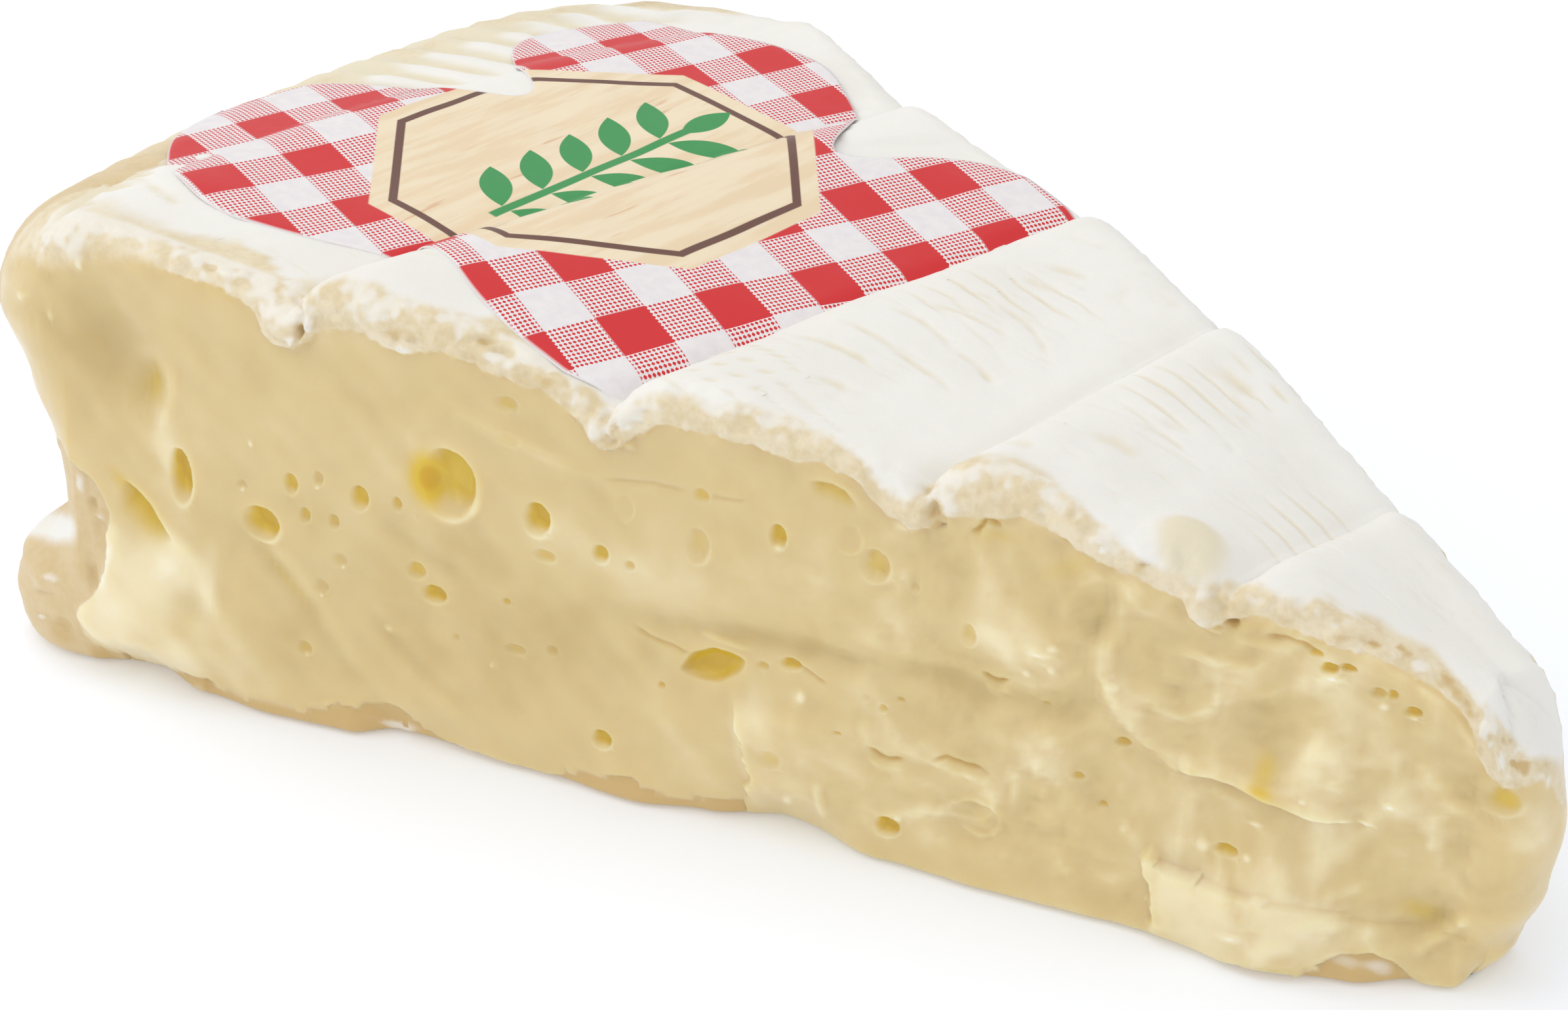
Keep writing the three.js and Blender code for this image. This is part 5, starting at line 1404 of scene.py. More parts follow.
def sides_of(face):
    return [(min(a, b), max(a, b)) for a, b in zip(face, face[1:] + face[:1])]


def refined(places, faces, chosen):
    """Splits the chosen faces in four and hands the new corners on to their neighbours."""
    count = len(places["climb"])
    middles = {}
    picked = {n for n in np.nonzero(chosen)[0].tolist() if len(faces[n]) == 4}
    for n in sorted(picked):
        for side in sides_of(faces[n]):
            middles.setdefault(side, count + len(middles))
    centre = count + len(middles)
    centres = []
    made = []
    for n, face in enumerate(faces):
        between = [middles.get(side) for side in sides_of(face)]
        if n in picked:
            for k in range(4):
                made.append([face[k], between[k], centre, between[k - 1]])
            centres.append(face)
            centre += 1
            continue
        longer = []
        for corner, extra in zip(face, between):
            longer += [corner] if extra is None else [corner, extra]
        made.append(longer)
    pairs = np.array(list(middles))
    corners = np.array(centres)
    grown = {}
    for name, values in places.items():
        grown[name] = np.concatenate([values, values[pairs].mean(axis=1), values[corners].mean(axis=1)])
    return grown, made


# Rows up a wall: the share that is evenly spaced, and the lowest rows
EVEN_ROWS = 0.82
FOOT_ROWS = [0, 0.003, 0.009, 0.018, 0.03]


def cheese_mesh():
    grid = wedge_grid()
    rows, columns = grid["level"].shape
    ring = ring_of(rows, columns)
    count = len(ring)
    climb = np.linspace(0, 1, WALL_ROWS + 1)
    climb = EVEN_ROWS * climb + (1 - EVEN_ROWS) * smooth(-0.2, 1, climb) * climb
    climb[: len(FOOT_ROWS)] = FOOT_ROWS
    climb = climb / climb[-1]
    edge = take(grid, (ring[:, 0], ring[:, 1]))
    walls = {name: np.repeat(values, WALL_ROWS + 1, axis=0) for name, values in edge.items()}
    walls["climb"] = np.tile(climb, count)
    inner = {name: values[1:-1, 1:-1].reshape(-1, *values.shape[2:]) for name, values in grid.items()}
    inner["climb"] = np.ones(len(inner["level"]))
    places = {name: np.concatenate([walls[name], inner[name]]) for name in walls}

    index = np.zeros((rows, columns), int)
    wall_count = count * (WALL_ROWS + 1)
    index[1:-1, 1:-1] = wall_count + np.arange((rows - 2) * (columns - 2)).reshape(rows - 2, columns - 2)
    wall = np.arange(wall_count).reshape(count, WALL_ROWS + 1)
    index[ring[:, 0], ring[:, 1]] = wall[:, -1]
    faces = quads_of(index).tolist()
    # The far cut and the far half of the rim have rows twice as tall
    rim_middle = count - columns // 2
    tip_middle = rows + columns // 2
    for column in range(count):
        beside = (column + 1) % count
        left, right = wall[column], wall[beside]
        if column < tip_middle or column >= rim_middle:
            faces.extend(np.stack([left[:-1], left[1:], right[1:], right[:-1]], axis=1).tolist())
            continue
        for row in range(0, WALL_ROWS, 2):
            face = [left[row]]
            face += [left[row + 1]] if column == tip_middle else []
            face += [left[row + 2], right[row + 2]]
            face += [right[row + 1]] if beside == rim_middle else []
            face += [right[row]]
            faces.append([int(corner) for corner in face])
    foot = wall[:, 0].tolist()
    near_foot = foot[:rows]
    far_foot = foot[rows + columns - 2 : 2 * rows + columns - 2][::-1]
    first, last = RIM_LEVELS, rows - TIP_LEVELS
    under = len(faces)
    for i in range(first, last):
        faces.append([near_foot[i], near_foot[i + 1], far_foot[i + 1], far_foot[i]])
    rim_foot = foot[2 * rows + columns - 2 :]
    faces.append(near_foot[: first + 1] + far_foot[: first + 1][::-1] + rim_foot)
    tip_foot = foot[rows : rows + columns - 2]
    faces.append(near_foot[last:] + tip_foot + far_foot[last:][::-1])

    for grade in (1, 2):
        fine = fineness(places)
        chosen = [len(face) == 4 and min(fine[corner] for corner in face) >= grade for face in faces]
        chosen = np.array(chosen)
        if grade == 1:
            chosen[under:] = False
        places, faces = refined(places, faces, chosen)
    positions, masks = dressed(places)
    return positions, faces, masks


def quads_of(index):
    """Four-sided faces of a grid of points."""
    return np.stack([index[:-1, :-1], index[1:, :-1], index[1:, 1:], index[:-1, 1:]], axis=-1).reshape(-1, 4)


def build_object(name, positions, faces, masks, finish):
    """A mesh object from points in the cutter's frame, without those that no face uses."""
    used = np.zeros(len(positions), bool)
    used[np.concatenate([np.array(face) for face in faces])] = True
    renumber = np.cumsum(used) - 1
    mesh = bpy.data.meshes.new(name)
    points = (positions[used] + CUTTER_ORIGIN) * MM
    mesh.from_pydata(points.tolist(), [], [renumber[face].tolist() for face in faces])
    for mask, values in masks.items():
        attribute = mesh.attributes.new(mask, "FLOAT", "POINT")
        attribute.data.foreach_set("value", np.ascontiguousarray(values[used], np.float32))
    tidy = bmesh.new()
    tidy.from_mesh(mesh)
    bmesh.ops.recalc_face_normals(tidy, faces=tidy.faces)
    for face in tidy.faces:
        face.smooth = True
    tidy.to_mesh(mesh)
    tidy.free()
    mesh.validate()
    mesh.materials.append(finish)
    piece = bpy.data.objects.new(name, mesh)
    bpy.context.scene.collection.objects.link(piece)
    return piece


# The label

# How far the paper's edge dips to the rind, and over how many of its lines
LABEL_EDGE_DIP = 0.08
LABEL_EDGE_LINES = 1.5


def label_half_width(station, lobes):
    """Half the label's width at a station, with a round corner and lobes."""
    left = LABEL_CORNER - np.minimum(LABEL_REACH - station, LABEL_CORNER)
    width = LABEL_HALF_WIDTH - LABEL_CORNER + np.sqrt(np.maximum(LABEL_CORNER**2 - left**2, 0))
    for along, length, out in lobes:
        width = width + out * bell((station - along) / length)
    return width


def label_mesh():
    """A thin sheet that follows the top from near the rim to the second crease."""
    share = np.broadcast_to(np.linspace(0, 1, LABEL_ACROSS)[None, :], (LABEL_RIM_LINES, LABEL_ACROSS))
    rim_share = np.linspace(0, 1, LABEL_RIM_LINES, endpoint=False)[:, None]
    at = mix(label_end(share, share), 1, rim_share)
    near, far, height, far_height = line_across(np.zeros(at.shape, int), np.maximum(at, 0))
    beyond = np.maximum(-at, 0)
    first = (mix(near, LABEL_REACH, beyond), mix(far, LABEL_REACH, beyond), height, far_height)
    rest = line_across(np.ones(LABEL_REST_LINES, int), np.linspace(0, 1, LABEL_REST_LINES))
    near, far, height, far_height = [
        np.concatenate([values, np.broadcast_to(more[:, None], (LABEL_REST_LINES, LABEL_ACROSS))])
        for values, more in zip(first, rest)
    ]
    station = (near + far) / 2
    half = station * math.sin(HALF_ANGLE)
    near_side, far_side = label_sides(station, half)
    across = (mix(-near_side / half, far_side / half, share[:1]) + 1) / 2
    near_end, far_end = ends_of(near, far)
    point = bowed(near_end, far_end, across, bow_of(near))
    x, y = point[..., 0].ravel(), point[..., 1].ravel()
    drop = rounding_drop(RIM_SHOULDER, WHEEL_RADIUS - np.hypot(x, y))
    up = mix(height, far_height, across).ravel() - drop + top_forms(x, y) + uneven(on_plan(x, y), "paper")

    rows, columns = near.shape
    row, column = np.divmod(np.arange(rows * columns), columns)
    from_edge = np.minimum.reduce([row, rows - 1 - row, column, columns - 1 - column])
    lower = up + LABEL_GAP - LABEL_EDGE_DIP * np.exp(-from_edge / LABEL_EDGE_LINES)
    upper = lower + LABEL_THICKNESS
    count = rows * columns
    positions = np.concatenate([np.column_stack([x, y, upper]), np.column_stack([x, y, lower])])
    index = np.arange(count).reshape(rows, columns)
    quads = quads_of(index)
    faces = quads.tolist() + (quads + count)[:, ::-1].tolist()
    outline = ring_of(rows, columns)
    loop = index[outline[:, 0], outline[:, 1]]
    ahead = np.roll(loop, -1)
    faces += np.stack([loop, ahead, ahead + count, loop + count], axis=1).tolist()
    edge = np.concatenate([(from_edge == 0).astype(float)] * 2)
    masks = {"across": np.concatenate([x, x]), "along": np.concatenate([y, y]), "edge": edge}
    return positions, faces, masks


# Shader maths as plain Python


class Socket:
    """An output of a shader node. A sum on it adds Math nodes."""

    def __init__(self, bench, output):
        self.bench = bench
        self.output = output

    def sum(self, operation, *values):
        return self.bench.node("ShaderNodeMath", {"operation": operation}, dict(enumerate(values)))

    def __add__(self, other):
        return self.sum("ADD", self, other)

    __radd__ = __add__

    def __sub__(self, other):
        return self.sum("SUBTRACT", self, other)

    def __rsub__(self, other):
        return self.sum("SUBTRACT", other, self)

    def __mul__(self, other):
        return self.sum("MULTIPLY", self, other)

    __rmul__ = __mul__

    def __truediv__(self, other):
        return self.sum("DIVIDE", self, other)

    def __abs__(self):
        return self.sum("ABSOLUTE", self)

    def fraction(self):
        return self.sum("FRACT", self)

    def wave(self):
        return self.sum("SINE", self)

    def most(self, other):
        return self.sum("MAXIMUM", self, other)

    def smooth(self, low, high):
        """0 below low and 1 above high, with a soft step between. Low may be the greater."""
        settings = {"interpolation_type": "SMOOTHSTEP"}
        if low > high:
            return 1 - self.smooth(high, low)
        return self.bench.node("ShaderNodeMapRange", settings, {0: self, 1: low, 2: high, 3: 0, 4: 1})


class Bench:
    """The node tree of one material."""

    def __init__(self, name):
        self.material = bpy.data.materials.new(name)
        self.material.use_nodes = True
        self.tree = self.material.node_tree
        self.tree.nodes.clear()

    def node(self, kind, settings=None, inputs=None, output=0):
        made = self.tree.nodes.new(kind)
        for name, value in (settings or {}).items():
            setattr(made, name, value)
        for name, value in (inputs or {}).items():
            if isinstance(value, Socket):
                self.tree.links.new(value.output, made.inputs[name])
            else:
                made.inputs[name].default_value = value
        return Socket(self, made.outputs[output])

    def place(self):
        return self.node("ShaderNodeTexCoord", output="Object")

    def mask(self, name):
        return self.node("ShaderNodeAttribute", {"attribute_name": name}, output="Fac")

    def blend(self, share, low, high):
        return self.node("ShaderNodeMix", {"data_type": "RGBA"}, {0: share, 6: low, 7: high}, output=2)

    def steps(self, colour, mask, look, steps):
        """Colours of a look laid over one another, each by its own part of a mask."""
        for name, (low, high) in steps.items():
            colour = self.blend(mask.smooth(low, high), colour, getattr(look, name))
        return colour

    def stretched(self, place, x, y, z):
        return self.node("ShaderNodeVectorMath", {"operation": "MULTIPLY"}, {0: place, 1: (x, y, z)})

    def noise(self, place, size, detail, rough=0.55):
        """Unevenness with waves of a size in millimetres."""
        inputs = {"Vector": place, "Scale": 1 / (size * MM), "Detail": detail, "Roughness": rough}
        return self.node("ShaderNodeTexNoise", {}, inputs)

    def bump(self, height, distance, strength):
        inputs = {"Height": height, "Distance": distance * MM, "Strength": strength}
        return self.node("ShaderNodeBump", {}, inputs)

    def shader(self, **inputs):
        named = {name.replace("_", " "): value for name, value in inputs.items()}
        return self.node("ShaderNodeBsdfPrincipled", {}, named)

    def done(self, surface):
        end = self.tree.nodes.new("ShaderNodeOutputMaterial")
        self.tree.links.new(surface.output, end.inputs["Surface"])
        return self.material


CHEESE_MASKS = ("rind", "bloom", "hollow_glow", "tone", "bare", "foot", "torn")
# Noise in the cheese: size in millimetres, detail and roughness
FINE_NOISE = (2.2, 4)
GRAIN_NOISE = (0.5, 3)
CLOUD_NOISE = (5, 3)
WET_NOISE = (2.4, 4, 0.5)
PATCH_NOISE = (9, 3)
FUZZ_NOISE = (0.28, 4, 0.7)
SCRATCH_NOISE = (0.8, 2)
# Where each colour begins and where it is full
# Pale paste holds its own pale patches and painted highlight on bulges; white paste is only painted highlight
PASTE_STEPS = {"paste": (-0.9, 0.15), "paste_pale_and_lit": (0.05, 1.1), "paste_highlight": (1.1, 1.9)}
# Painted golden glow in the eyes and hollows, and painted shade at the bottom of deep eyes
GLOW_STEPS = {"eye_glow": (0.02, 0.7), "eye_deep_shade": (0.72, 1)}
HOLLOW_STEPS = {"crust_tan": (0.1, 0.8), "crust_speck": (1.2, 1.7)}
CRUMB_STEPS = {"bloom_white": (0.15, 0.8)}
MOTTLE_STEPS = {"crust_warm": (0.3, 0.7)}
# How much the noise adds to the tone, and where its wet creases lie; the fine noise and the creases also raise
# the bump, and are painted paler there as a faint highlight
CLOUD_TONE = 0.6
FINE_TONE = 0.25
WET_TONE = 0.12
WET_LEVEL = 0.65
WET_CREASE = 0.16
PASTE_GLOSS = (0.35, 0.7)
# Faint scratches and patches where the mould is rubbed or thin
SCRATCH_LENGTHWISE = 0.11
SCRATCH_STEP = (0.6, 0.74)
SCRATCH_PATCH = (0.5, 0.62)
SCRATCH_SHARE = 0.35
RUBBED_STEP = (0.12, 0.8)
RUBBED_SHARE = 0.85
THIN_STEP = (0.35, 0.65)
THIN_SHARE = 0.5
BLOOM_RAGGED = 0.3
BLOOM_STEP = (0.15, 0.85)
RIND_STEP = (0.25, 0.75)
# Relief of the materials: height in millimetres and strength
PASTE_BUMP = (0.06, 0.5)
SKIN_BUMP = (0.06, 0.6)
PAPER_BUMP = (0.2, 0.3)


def cheese_finish(look):
    """Glossy golden paste and matt white rind, shared out by the masks of the mesh."""
    bench = Bench("cheese_finish")
    place = bench.place()
    rind, bloom, hollow_glow, tone, bare, foot, torn = [bench.mask(name) for name in CHEESE_MASKS]

    fine = bench.noise(place, *FINE_NOISE)
    grain = bench.noise(place, *GRAIN_NOISE)
    cloud = bench.noise(place, *CLOUD_NOISE)
    dry = abs(bench.noise(place, *WET_NOISE) - 0.5).smooth(0, WET_CREASE)
    # Faint painted highlight where the fine noise and the wet creases raise the bump
    even = tone + (cloud - 0.5) * CLOUD_TONE + (fine - 0.5) * FINE_TONE
    even = even + (WET_LEVEL - dry) * torn * WET_TONE
    # The deepest colour holds the paste's own deep patches and painted shade in its hollows
    paste = bench.steps(look.paste_deep_and_shaded, even, look, PASTE_STEPS)
    # Painted golden glow and painted shade of the hollows over the paste's colour
    paste = bench.steps(paste, hollow_glow, look, GLOW_STEPS)
    gloss = fine.smooth(*PASTE_GLOSS)
    paste_shader = bench.shader(
        Base_Color=paste,
        Roughness=0.42 - gloss * 0.14,
        Subsurface_Weight=0.7,
        Subsurface_Radius=(1, 0.75, 0.35),
        Subsurface_Scale=2.4 * MM,
        Specular_IOR_Level=0.5,
        Coat_Weight=0.2 + gloss * 0.25,
        Coat_Roughness=0.2,
        Normal=bench.bump(fine + grain * 0.3 - dry * torn * 0.5, *PASTE_BUMP),
    )

    scratch = bench.noise(bench.stretched(place, SCRATCH_LENGTHWISE, 1, 1), *SCRATCH_NOISE)
    patchy = bench.noise(place, *PATCH_NOISE)
    scratched = scratch.smooth(*SCRATCH_STEP) * patchy.smooth(*SCRATCH_PATCH) * SCRATCH_SHARE
    rubbed = bare.smooth(*RUBBED_STEP).most(scratched)
    fuzz = bench.noise(place, *FUZZ_NOISE)
    white = bench.blend(patchy.smooth(*THIN_STEP) * THIN_SHARE, look.bloom_white, look.bloom_grey)
    white = bench.blend(rubbed * RUBBED_SHARE, white, look.bare_beige)
    crust = bench.steps(look.crust_cream, fine + (grain - 0.5) * 0.5, look, MOTTLE_STEPS)
    crust = bench.blend(foot, crust, look.foot_tan)
    crust = bench.steps(crust, 0 - tone, look, HOLLOW_STEPS)
    crust = bench.steps(crust, tone, look, CRUMB_STEPS)
    skin = bench.blend((bloom + (fine - 0.5) * BLOOM_RAGGED).smooth(*BLOOM_STEP), crust, white)
    skin_height = fuzz * 0.5 + fine * 0.8 - rubbed * 0.8 + grain * 0.4
    skin_shader = bench.shader(
        Base_Color=skin,
        Roughness=0.55 + bloom * 0.25,
        Subsurface_Weight=0.25,
        Subsurface_Radius=(1, 0.85, 0.65),
        Subsurface_Scale=0.8 * MM,
        Specular_IOR_Level=0.35,
        Coat_Weight=(1 - bloom) * 0.15,
        Coat_Roughness=0.25,
        Normal=bench.bump(skin_height, *SKIN_BUMP),
    )
    shared = {0: rind.smooth(*RIND_STEP), 1: paste_shader, 2: skin_shader}
    return bench.done(bench.node("ShaderNodeMixShader", {}, shared))


PAPER_NOISE = (0.8, 3)
CRINKLE_NOISE = (5, 3)
FIBRE_NOISE = (1.4, 4, 0.6)
DASH_NOISE = (0.55, 2, 0.5)
# How far the wood's fibres and dashes are drawn out
FIBRE_STRETCH = 0.12
DASH_STRETCH = 0.07
PAPER_STEPS = {"paper_shade": (0.3, 0.7)}
WOOD_STEPS = {"wood_deep": (0.4, 0.62)}
DASH_STEP = (0.66, 0.74)
DASH_SHARE = 0.6
# Sharp edges of the print
STRIPE_EDGE = (0.49, 0.51)
DOT_EDGE = (0.05, 0.2)
PANEL_EDGE = 0.08
LINE_INSET = 1.5
LINE_EDGE = (0.34, 0.24)
LEAF_EDGE = (1.04, 0.96)
STEM_EDGE = (0.42, 0.3)
STEM_END = (9.6, 9.4)
STEM_MIDDLE = 0.2
# The leaves: half length, half width, lean and places
LEAF_SIZE = (2.7, 1.05)
END_LEAF = (0, 10.4, 2.4, 0.95, 90)
LEAF_PAIRS = 5
LEAF_PITCH = 3.6
LEAF_FROM = -6.5
LEAF_ASIDE = 2.6
LEAF_LEANS = ((-1, 145), (1, 35))


def label_finish(look):
    """Coated paper printed with a red check round a pale panel with a leafy sprig."""
    bench = Bench("label_finish")
    place = bench.place()
    x = bench.mask("across") - PRINT_MIDDLE[0]
    y = bench.mask("along") - PRINT_MIDDLE[1]
    turn = math.radians(look.check_turn)
    u = (x * math.cos(turn) + y * math.sin(turn)) / look.check_size
    v = (y * math.cos(turn) - x * math.sin(turn)) / look.check_size
    dot_angle = 2 * math.pi * look.dots_per_check

    # The check: solid where both stripes cross, dots where there is one
    stripe_u = u.fraction().smooth(*STRIPE_EDGE)
    stripe_v = v.fraction().smooth(*STRIPE_EDGE)
    both = stripe_u * stripe_v
    either = stripe_u.most(stripe_v) - both
    half_tone = (((u + v) * dot_angle).wave() * ((u - v) * dot_angle).wave()).smooth(*DOT_EDGE)
    paper = bench.noise(place, *PAPER_NOISE)
    white = bench.steps(look.paper_white, paper, look, PAPER_STEPS)
    colour = bench.blend(both.most(either * half_tone), white, look.check_red)

    # The panel of printed wood, with a line inside its edge
    sides = []
    for n in range(4):
        angle = math.radians(45 * n)
        sides.append(abs(x * math.cos(angle) + y * math.sin(angle)))
    panel = sides[0].most(sides[1]).most(sides[2].most(sides[3]))
    fibre = bench.noise(bench.stretched(place, 1, FIBRE_STRETCH, 1), *FIBRE_NOISE)
    wood = bench.steps(look.wood_pale, fibre, look, WOOD_STEPS)
    dash = bench.noise(bench.stretched(place, 1, DASH_STRETCH, 1), *DASH_NOISE).smooth(*DASH_STEP)
    wood = bench.blend(dash * DASH_SHARE, wood, look.wood_dash)
    inside = panel.smooth(look.panel_half + PANEL_EDGE, look.panel_half - PANEL_EDGE)
    colour = bench.blend(inside, colour, wood)
    line = abs(panel - (look.panel_half - LINE_INSET)).smooth(*LINE_EDGE)
    colour = bench.blend(line, colour, look.print_brown)

    def leaf(middle_x, middle_y, length, width, lean):
        along, across = turned(x, y, middle_x, middle_y, lean)
        along = along / length
        return (along * along + abs(across / width)).smooth(*LEAF_EDGE)

    # The sprig: a stem with pairs of leaves and one at its end
    sprig = leaf(*END_LEAF)
    for step in range(LEAF_PAIRS):
        for way, lean in LEAF_LEANS:
            sprig = sprig.most(leaf(LEAF_ASIDE * way, LEAF_FROM + LEAF_PITCH * step, *LEAF_SIZE, lean))
    stem = abs(x).smooth(*STEM_EDGE) * abs(y - STEM_MIDDLE).smooth(*STEM_END)
    colour = bench.blend(sprig.most(stem), colour, look.print_green)
    colour = bench.blend(bench.mask("edge"), colour, look.paper_white)
    crinkle = bench.noise(place, *CRINKLE_NOISE)
    surface = bench.shader(
        Base_Color=colour,
        Roughness=0.42 + (paper - 0.5) * 0.12,
        Coat_Weight=0.12,
        Coat_Roughness=0.3,
        Specular_IOR_Level=0.45,
        Normal=bench.bump(crinkle + paper * 0.05, *PAPER_BUMP),
    )
    return bench.done(surface)


FLOOR_NOISE = (60, 2)
PURE_WHITE = (1, 1, 1, 1)


def floor_finish(look):
    """A pale floor that glows a little, as a sheet lit from below does."""
    bench = Bench("floor_finish")
    mottle = bench.noise(bench.place(), *FLOOR_NOISE)
    surface = bench.shader(
        Base_Color=bench.blend(mottle, look.floor_pale, look.floor_shade),
        Roughness=0.7,
        Specular_IOR_Level=0.1,
        Emission_Color=PURE_WHITE,
        Emission_Strength=look.floor_glow,
    )
    return bench.done(surface)


# What a user may change


def colour(name, part, red, green, blue):
    look = {"default": paint(red, green, blue), "size": 4, "min": 0, "max": 1, "subtype": "COLOR"}
    return bpy.props.FloatVectorProperty(name=name, description=f"Colour of {part}", **look)


def number(name, description, default, unit_name="NONE"):
    return bpy.props.FloatProperty(name=name, description=description, default=default, unit=unit_name)


class CheeseLook(bpy.types.PropertyGroup):
    paste: colour("Paste", "the paste", 219, 196, 141)
    # The paste's own pale patches and the painted highlight where it bulges
    paste_pale_and_lit: colour("Pale paste", "the paste where it bulges", 237, 223, 183)
    # Painted highlight on the wet paste
    paste_highlight: colour("White paste", "the wettest spots of the paste", 253, 248, 236)
    # The paste's own deep patches and the painted shade in its hollows
    paste_deep_and_shaded: colour("Deep paste", "the paste in its hollows", 203, 177, 117)
    # Painted glow of light scattered in the paste inside its eyes
    eye_glow: colour("Eye", "Colour inside an eye of the paste", 219, 186, 50)
    # Painted shade at the bottom of the deep eyes
    eye_deep_shade: colour("Deep eye", "Colour at the bottom of a deep eye", 212, 170, 20)
    bloom_white: colour("Bloom", "the white mould", 240, 238, 232)
    bloom_grey: colour("Thin bloom", "the mould where it is thin", 231, 228, 220)
    bare_beige: colour("Bare rind", "the rind where no mould covers it", 228, 217, 188)
    crust_cream: colour("Cut rind", "the cut edge of the rind", 232, 219, 190)
    crust_warm: colour("Warm cut rind", "warmer patches of the cut edge of the rind", 220, 202, 163)
    crust_tan: colour("Torn rind", "torn hollows in the rind", 210, 182, 130)
    crust_speck: colour("Speck", "the one dark speck in the rind", 110, 74, 34)
    foot_tan: colour("Foot rind", "the rind at the foot", 208, 178, 121)


class LabelLook(bpy.types.PropertyGroup):
    check_size: number("Check", "Millimetres from check to check", 7)
    check_turn: number("Check turn", "Degrees the check is turned", -14)
    dots_per_check: number("Dots", "Rows of half-tone dots in a check", 11)
    panel_half: number("Panel", "Half width of the panel in millimetres", 14.4)
    check_red: colour("Check", "the check", 210, 20, 27)
    paper_white: colour("Paper", "the bare paper", 236, 232, 232)
    paper_shade: colour("Paper shade", "faint shadows in the paper", 230, 224, 226)
    wood_pale: colour("Panel", "the panel", 240, 223, 192)
    wood_deep: colour("Panel grain", "the grain printed on the panel", 233, 210, 174)
    wood_dash: colour("Panel dashes", "the short dashes in the grain", 214, 160, 120)
    print_brown: colour("Line", "the line in the panel", 104, 66, 52)
    print_green: colour("Sprig", "the sprig", 46, 146, 74)


class StageLook(bpy.types.PropertyGroup):
    floor_pale: colour("Floor", "the floor", 237, 242, 252)
    floor_shade: colour("Floor shade", "faint unevenness of the floor", 235, 240, 250)
    floor_glow: number("Floor glow", "How brightly the floor glows", 0.2)
    key_power: number("Key light", "Power of the main light", 0.42, "POWER")
    fill_power: number("Fill light", "Power of the front light", 0.14, "POWER")
    sky: number("Surroundings", "Brightness of the white surroundings", 0.81)
    lens: number("Lens", "Focal length in millimetres", 75.28)


class CHEESE_OT_wedge(bpy.types.Operator):
    """Build the wedge of cheese in the place of its solid"""

    bl_idname = "cheese.wedge"
    bl_label = "Cheese wedge"

    def execute(self, context):
        piece = build_object("wedge", *cheese_mesh(), cheese_finish(context.scene.cheese_look))
        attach(piece, "root")
        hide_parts("cheese")
        return {"FINISHED"}


class CHEESE_OT_label(bpy.types.Operator):
    """Build the paper label that lies on the top"""

    bl_idname = "cheese.label"
    bl_label = "Paper label"

    def execute(self, context):
        piece = build_object("paper_label", *label_mesh(), label_finish(context.scene.label_look))
        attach(piece, "root")
        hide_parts("label")
        return {"FINISHED"}


FLOOR_HALF = 3
FLOOR_HEIGHT = -0.1 * MM
CAMERA_PLACE = (0.12337, -0.13798, 0.112)
CAMERA_TURN = (math.radians(62.1), 0, math.radians(42.5))
SENSOR_WIDTH = 36
NEAREST_SEEN = 0.01
# The lights: size and place in metres, and the point that both look at
KEY_SIZE, KEY_PLACE = (0.4, 0.4), (-0.15, -0.1, 0.34)
FILL_SIZE, FILL_PLACE = (0.4, 0.25), (0, -0.42, 0.22)
LIGHT_AIM = (0, 0, 0.01)


def put_in_scene(scene, name, data, place=(0, 0, 0), turn=(0, 0, 0)):
    thing = bpy.data.objects.new(name, data)
    thing.location = place
    thing.rotation_euler = turn
    scene.collection.objects.link(thing)
    return thing


def soft_light(scene, name, power, size, place):
    """A soft light that looks at the middle of the object."""
    light = bpy.data.lights.new(name, "AREA")
    light.shape = "RECTANGLE"
    light.size, light.size_y = size
    light.energy = power
    away = np.array(place) - np.array(LIGHT_AIM)
    tilt = math.atan2(math.hypot(away[0], away[1]), away[2])
    put_in_scene(scene, name, light, place, (tilt, 0, math.atan2(away[0], -away[1])))


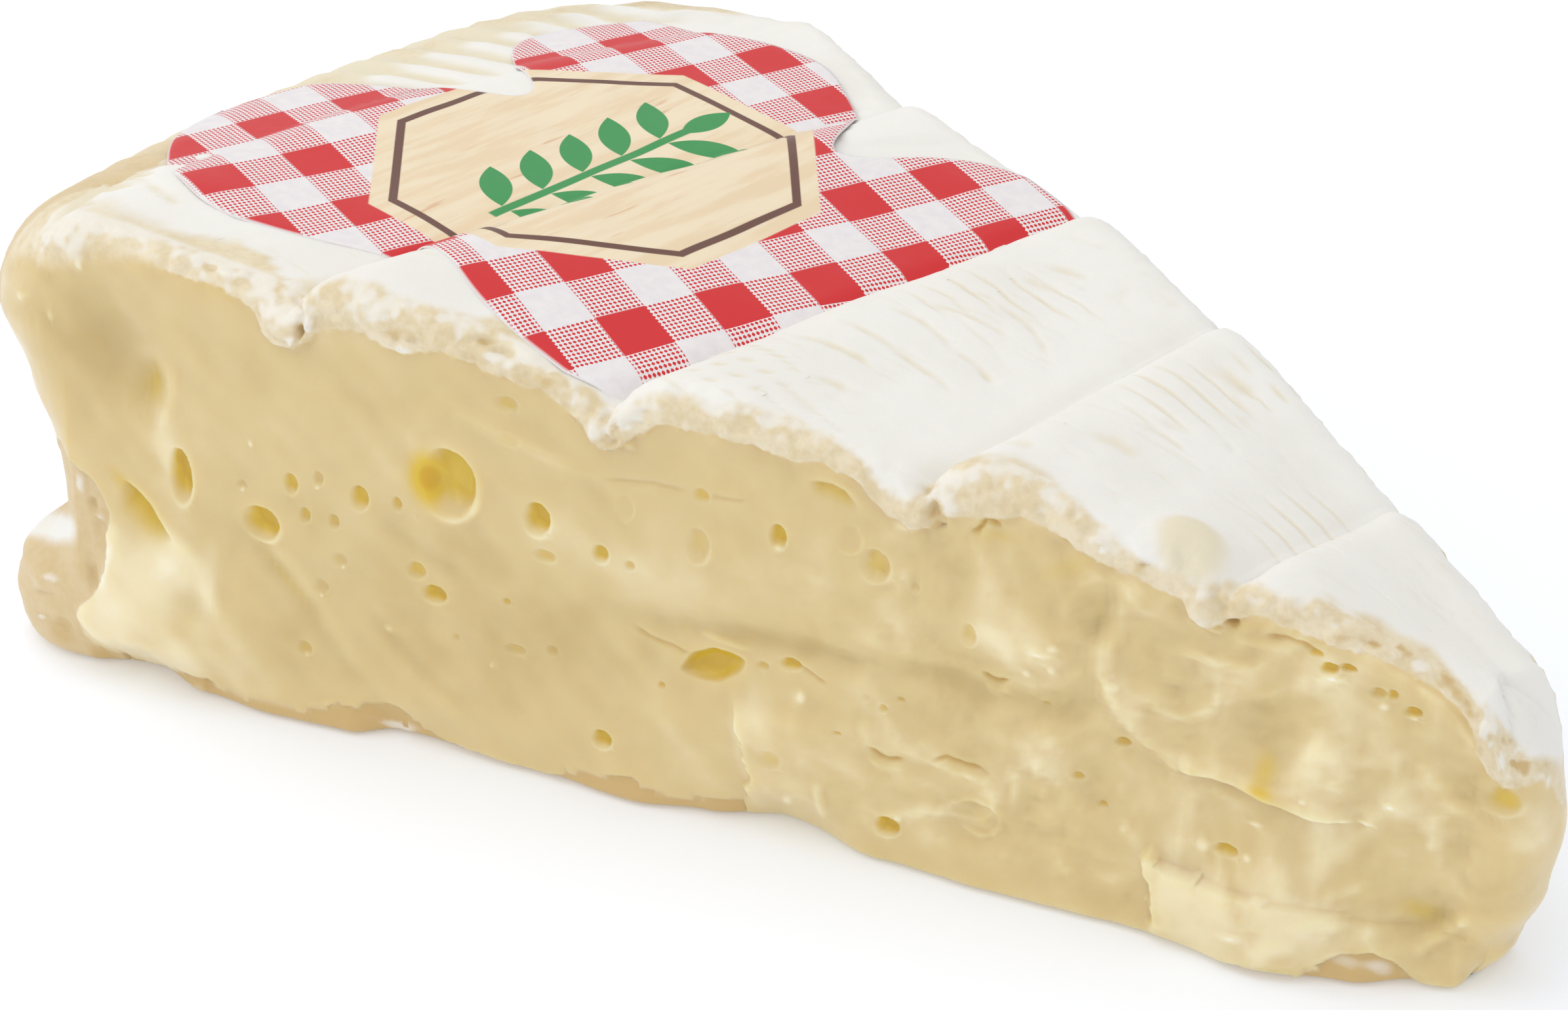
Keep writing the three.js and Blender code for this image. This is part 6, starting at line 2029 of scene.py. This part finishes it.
class CHEESE_OT_stage(bpy.types.Operator):
    """Build the plain floor, the soft lights and the camera"""

    bl_idname = "cheese.stage"
    bl_label = "Stage"

    def execute(self, context):
        scene = context.scene
        look = scene.stage_look
        mesh = bpy.data.meshes.new("floor")
        half, low = FLOOR_HALF, FLOOR_HEIGHT
        corners = [(-half, -half, low), (half, -half, low), (half, half, low), (-half, half, low)]
        mesh.from_pydata(corners, [], [(0, 1, 2, 3)])
        mesh.materials.append(floor_finish(look))
        put_in_scene(scene, "floor", mesh)

        lens = bpy.data.cameras.new("camera")
        lens.lens = look.lens
        lens.sensor_width = SENSOR_WIDTH
        lens.clip_start = NEAREST_SEEN
        scene.camera = put_in_scene(scene, "camera", lens, CAMERA_PLACE, CAMERA_TURN)

        soft_light(scene, "key", look.key_power, KEY_SIZE, KEY_PLACE)
        soft_light(scene, "fill", look.fill_power, FILL_SIZE, FILL_PLACE)

        world = bpy.data.worlds.new("surroundings")
        world.use_nodes = True
        background = world.node_tree.nodes["Background"]
        background.inputs["Color"].default_value = PURE_WHITE
        background.inputs["Strength"].default_value = look.sky
        scene.world = world
        scene.view_settings.view_transform = "Standard"
        return {"FINISHED"}


class CHEESE_PT_panel(bpy.types.Panel):
    """Lists the pieces of the wedge"""

    bl_idname = "CHEESE_PT_panel"
    bl_label = "Cheese wedge"
    bl_space_type = "VIEW_3D"
    bl_region_type = "UI"
    bl_category = "Cheese"

    def draw(self, context):
        for kind in OPERATORS:
            self.layout.operator(kind.bl_idname)
        for group in GROUPS:
            look = getattr(context.scene, group)
            for name in look.__annotations__:
                self.layout.prop(look, name)


OPERATORS = [CHEESE_OT_wedge, CHEESE_OT_label, CHEESE_OT_stage]
GROUPS = {"cheese_look": CheeseLook, "label_look": LabelLook, "stage_look": StageLook}
KINDS = [*GROUPS.values(), *OPERATORS, CHEESE_PT_panel]


def register():
    for kind in KINDS:
        bpy.utils.register_class(kind)
    for name, kind in GROUPS.items():
        setattr(bpy.types.Scene, name, bpy.props.PointerProperty(type=kind))


def unregister():
    for name in GROUPS:
        delattr(bpy.types.Scene, name)
    for kind in reversed(KINDS):
        bpy.utils.unregister_class(kind)


def main():
    register()
    bpy.ops.cheese.wedge()
    bpy.ops.cheese.label()
    bpy.ops.cheese.stage()


if __name__ == "__main__":
    main()
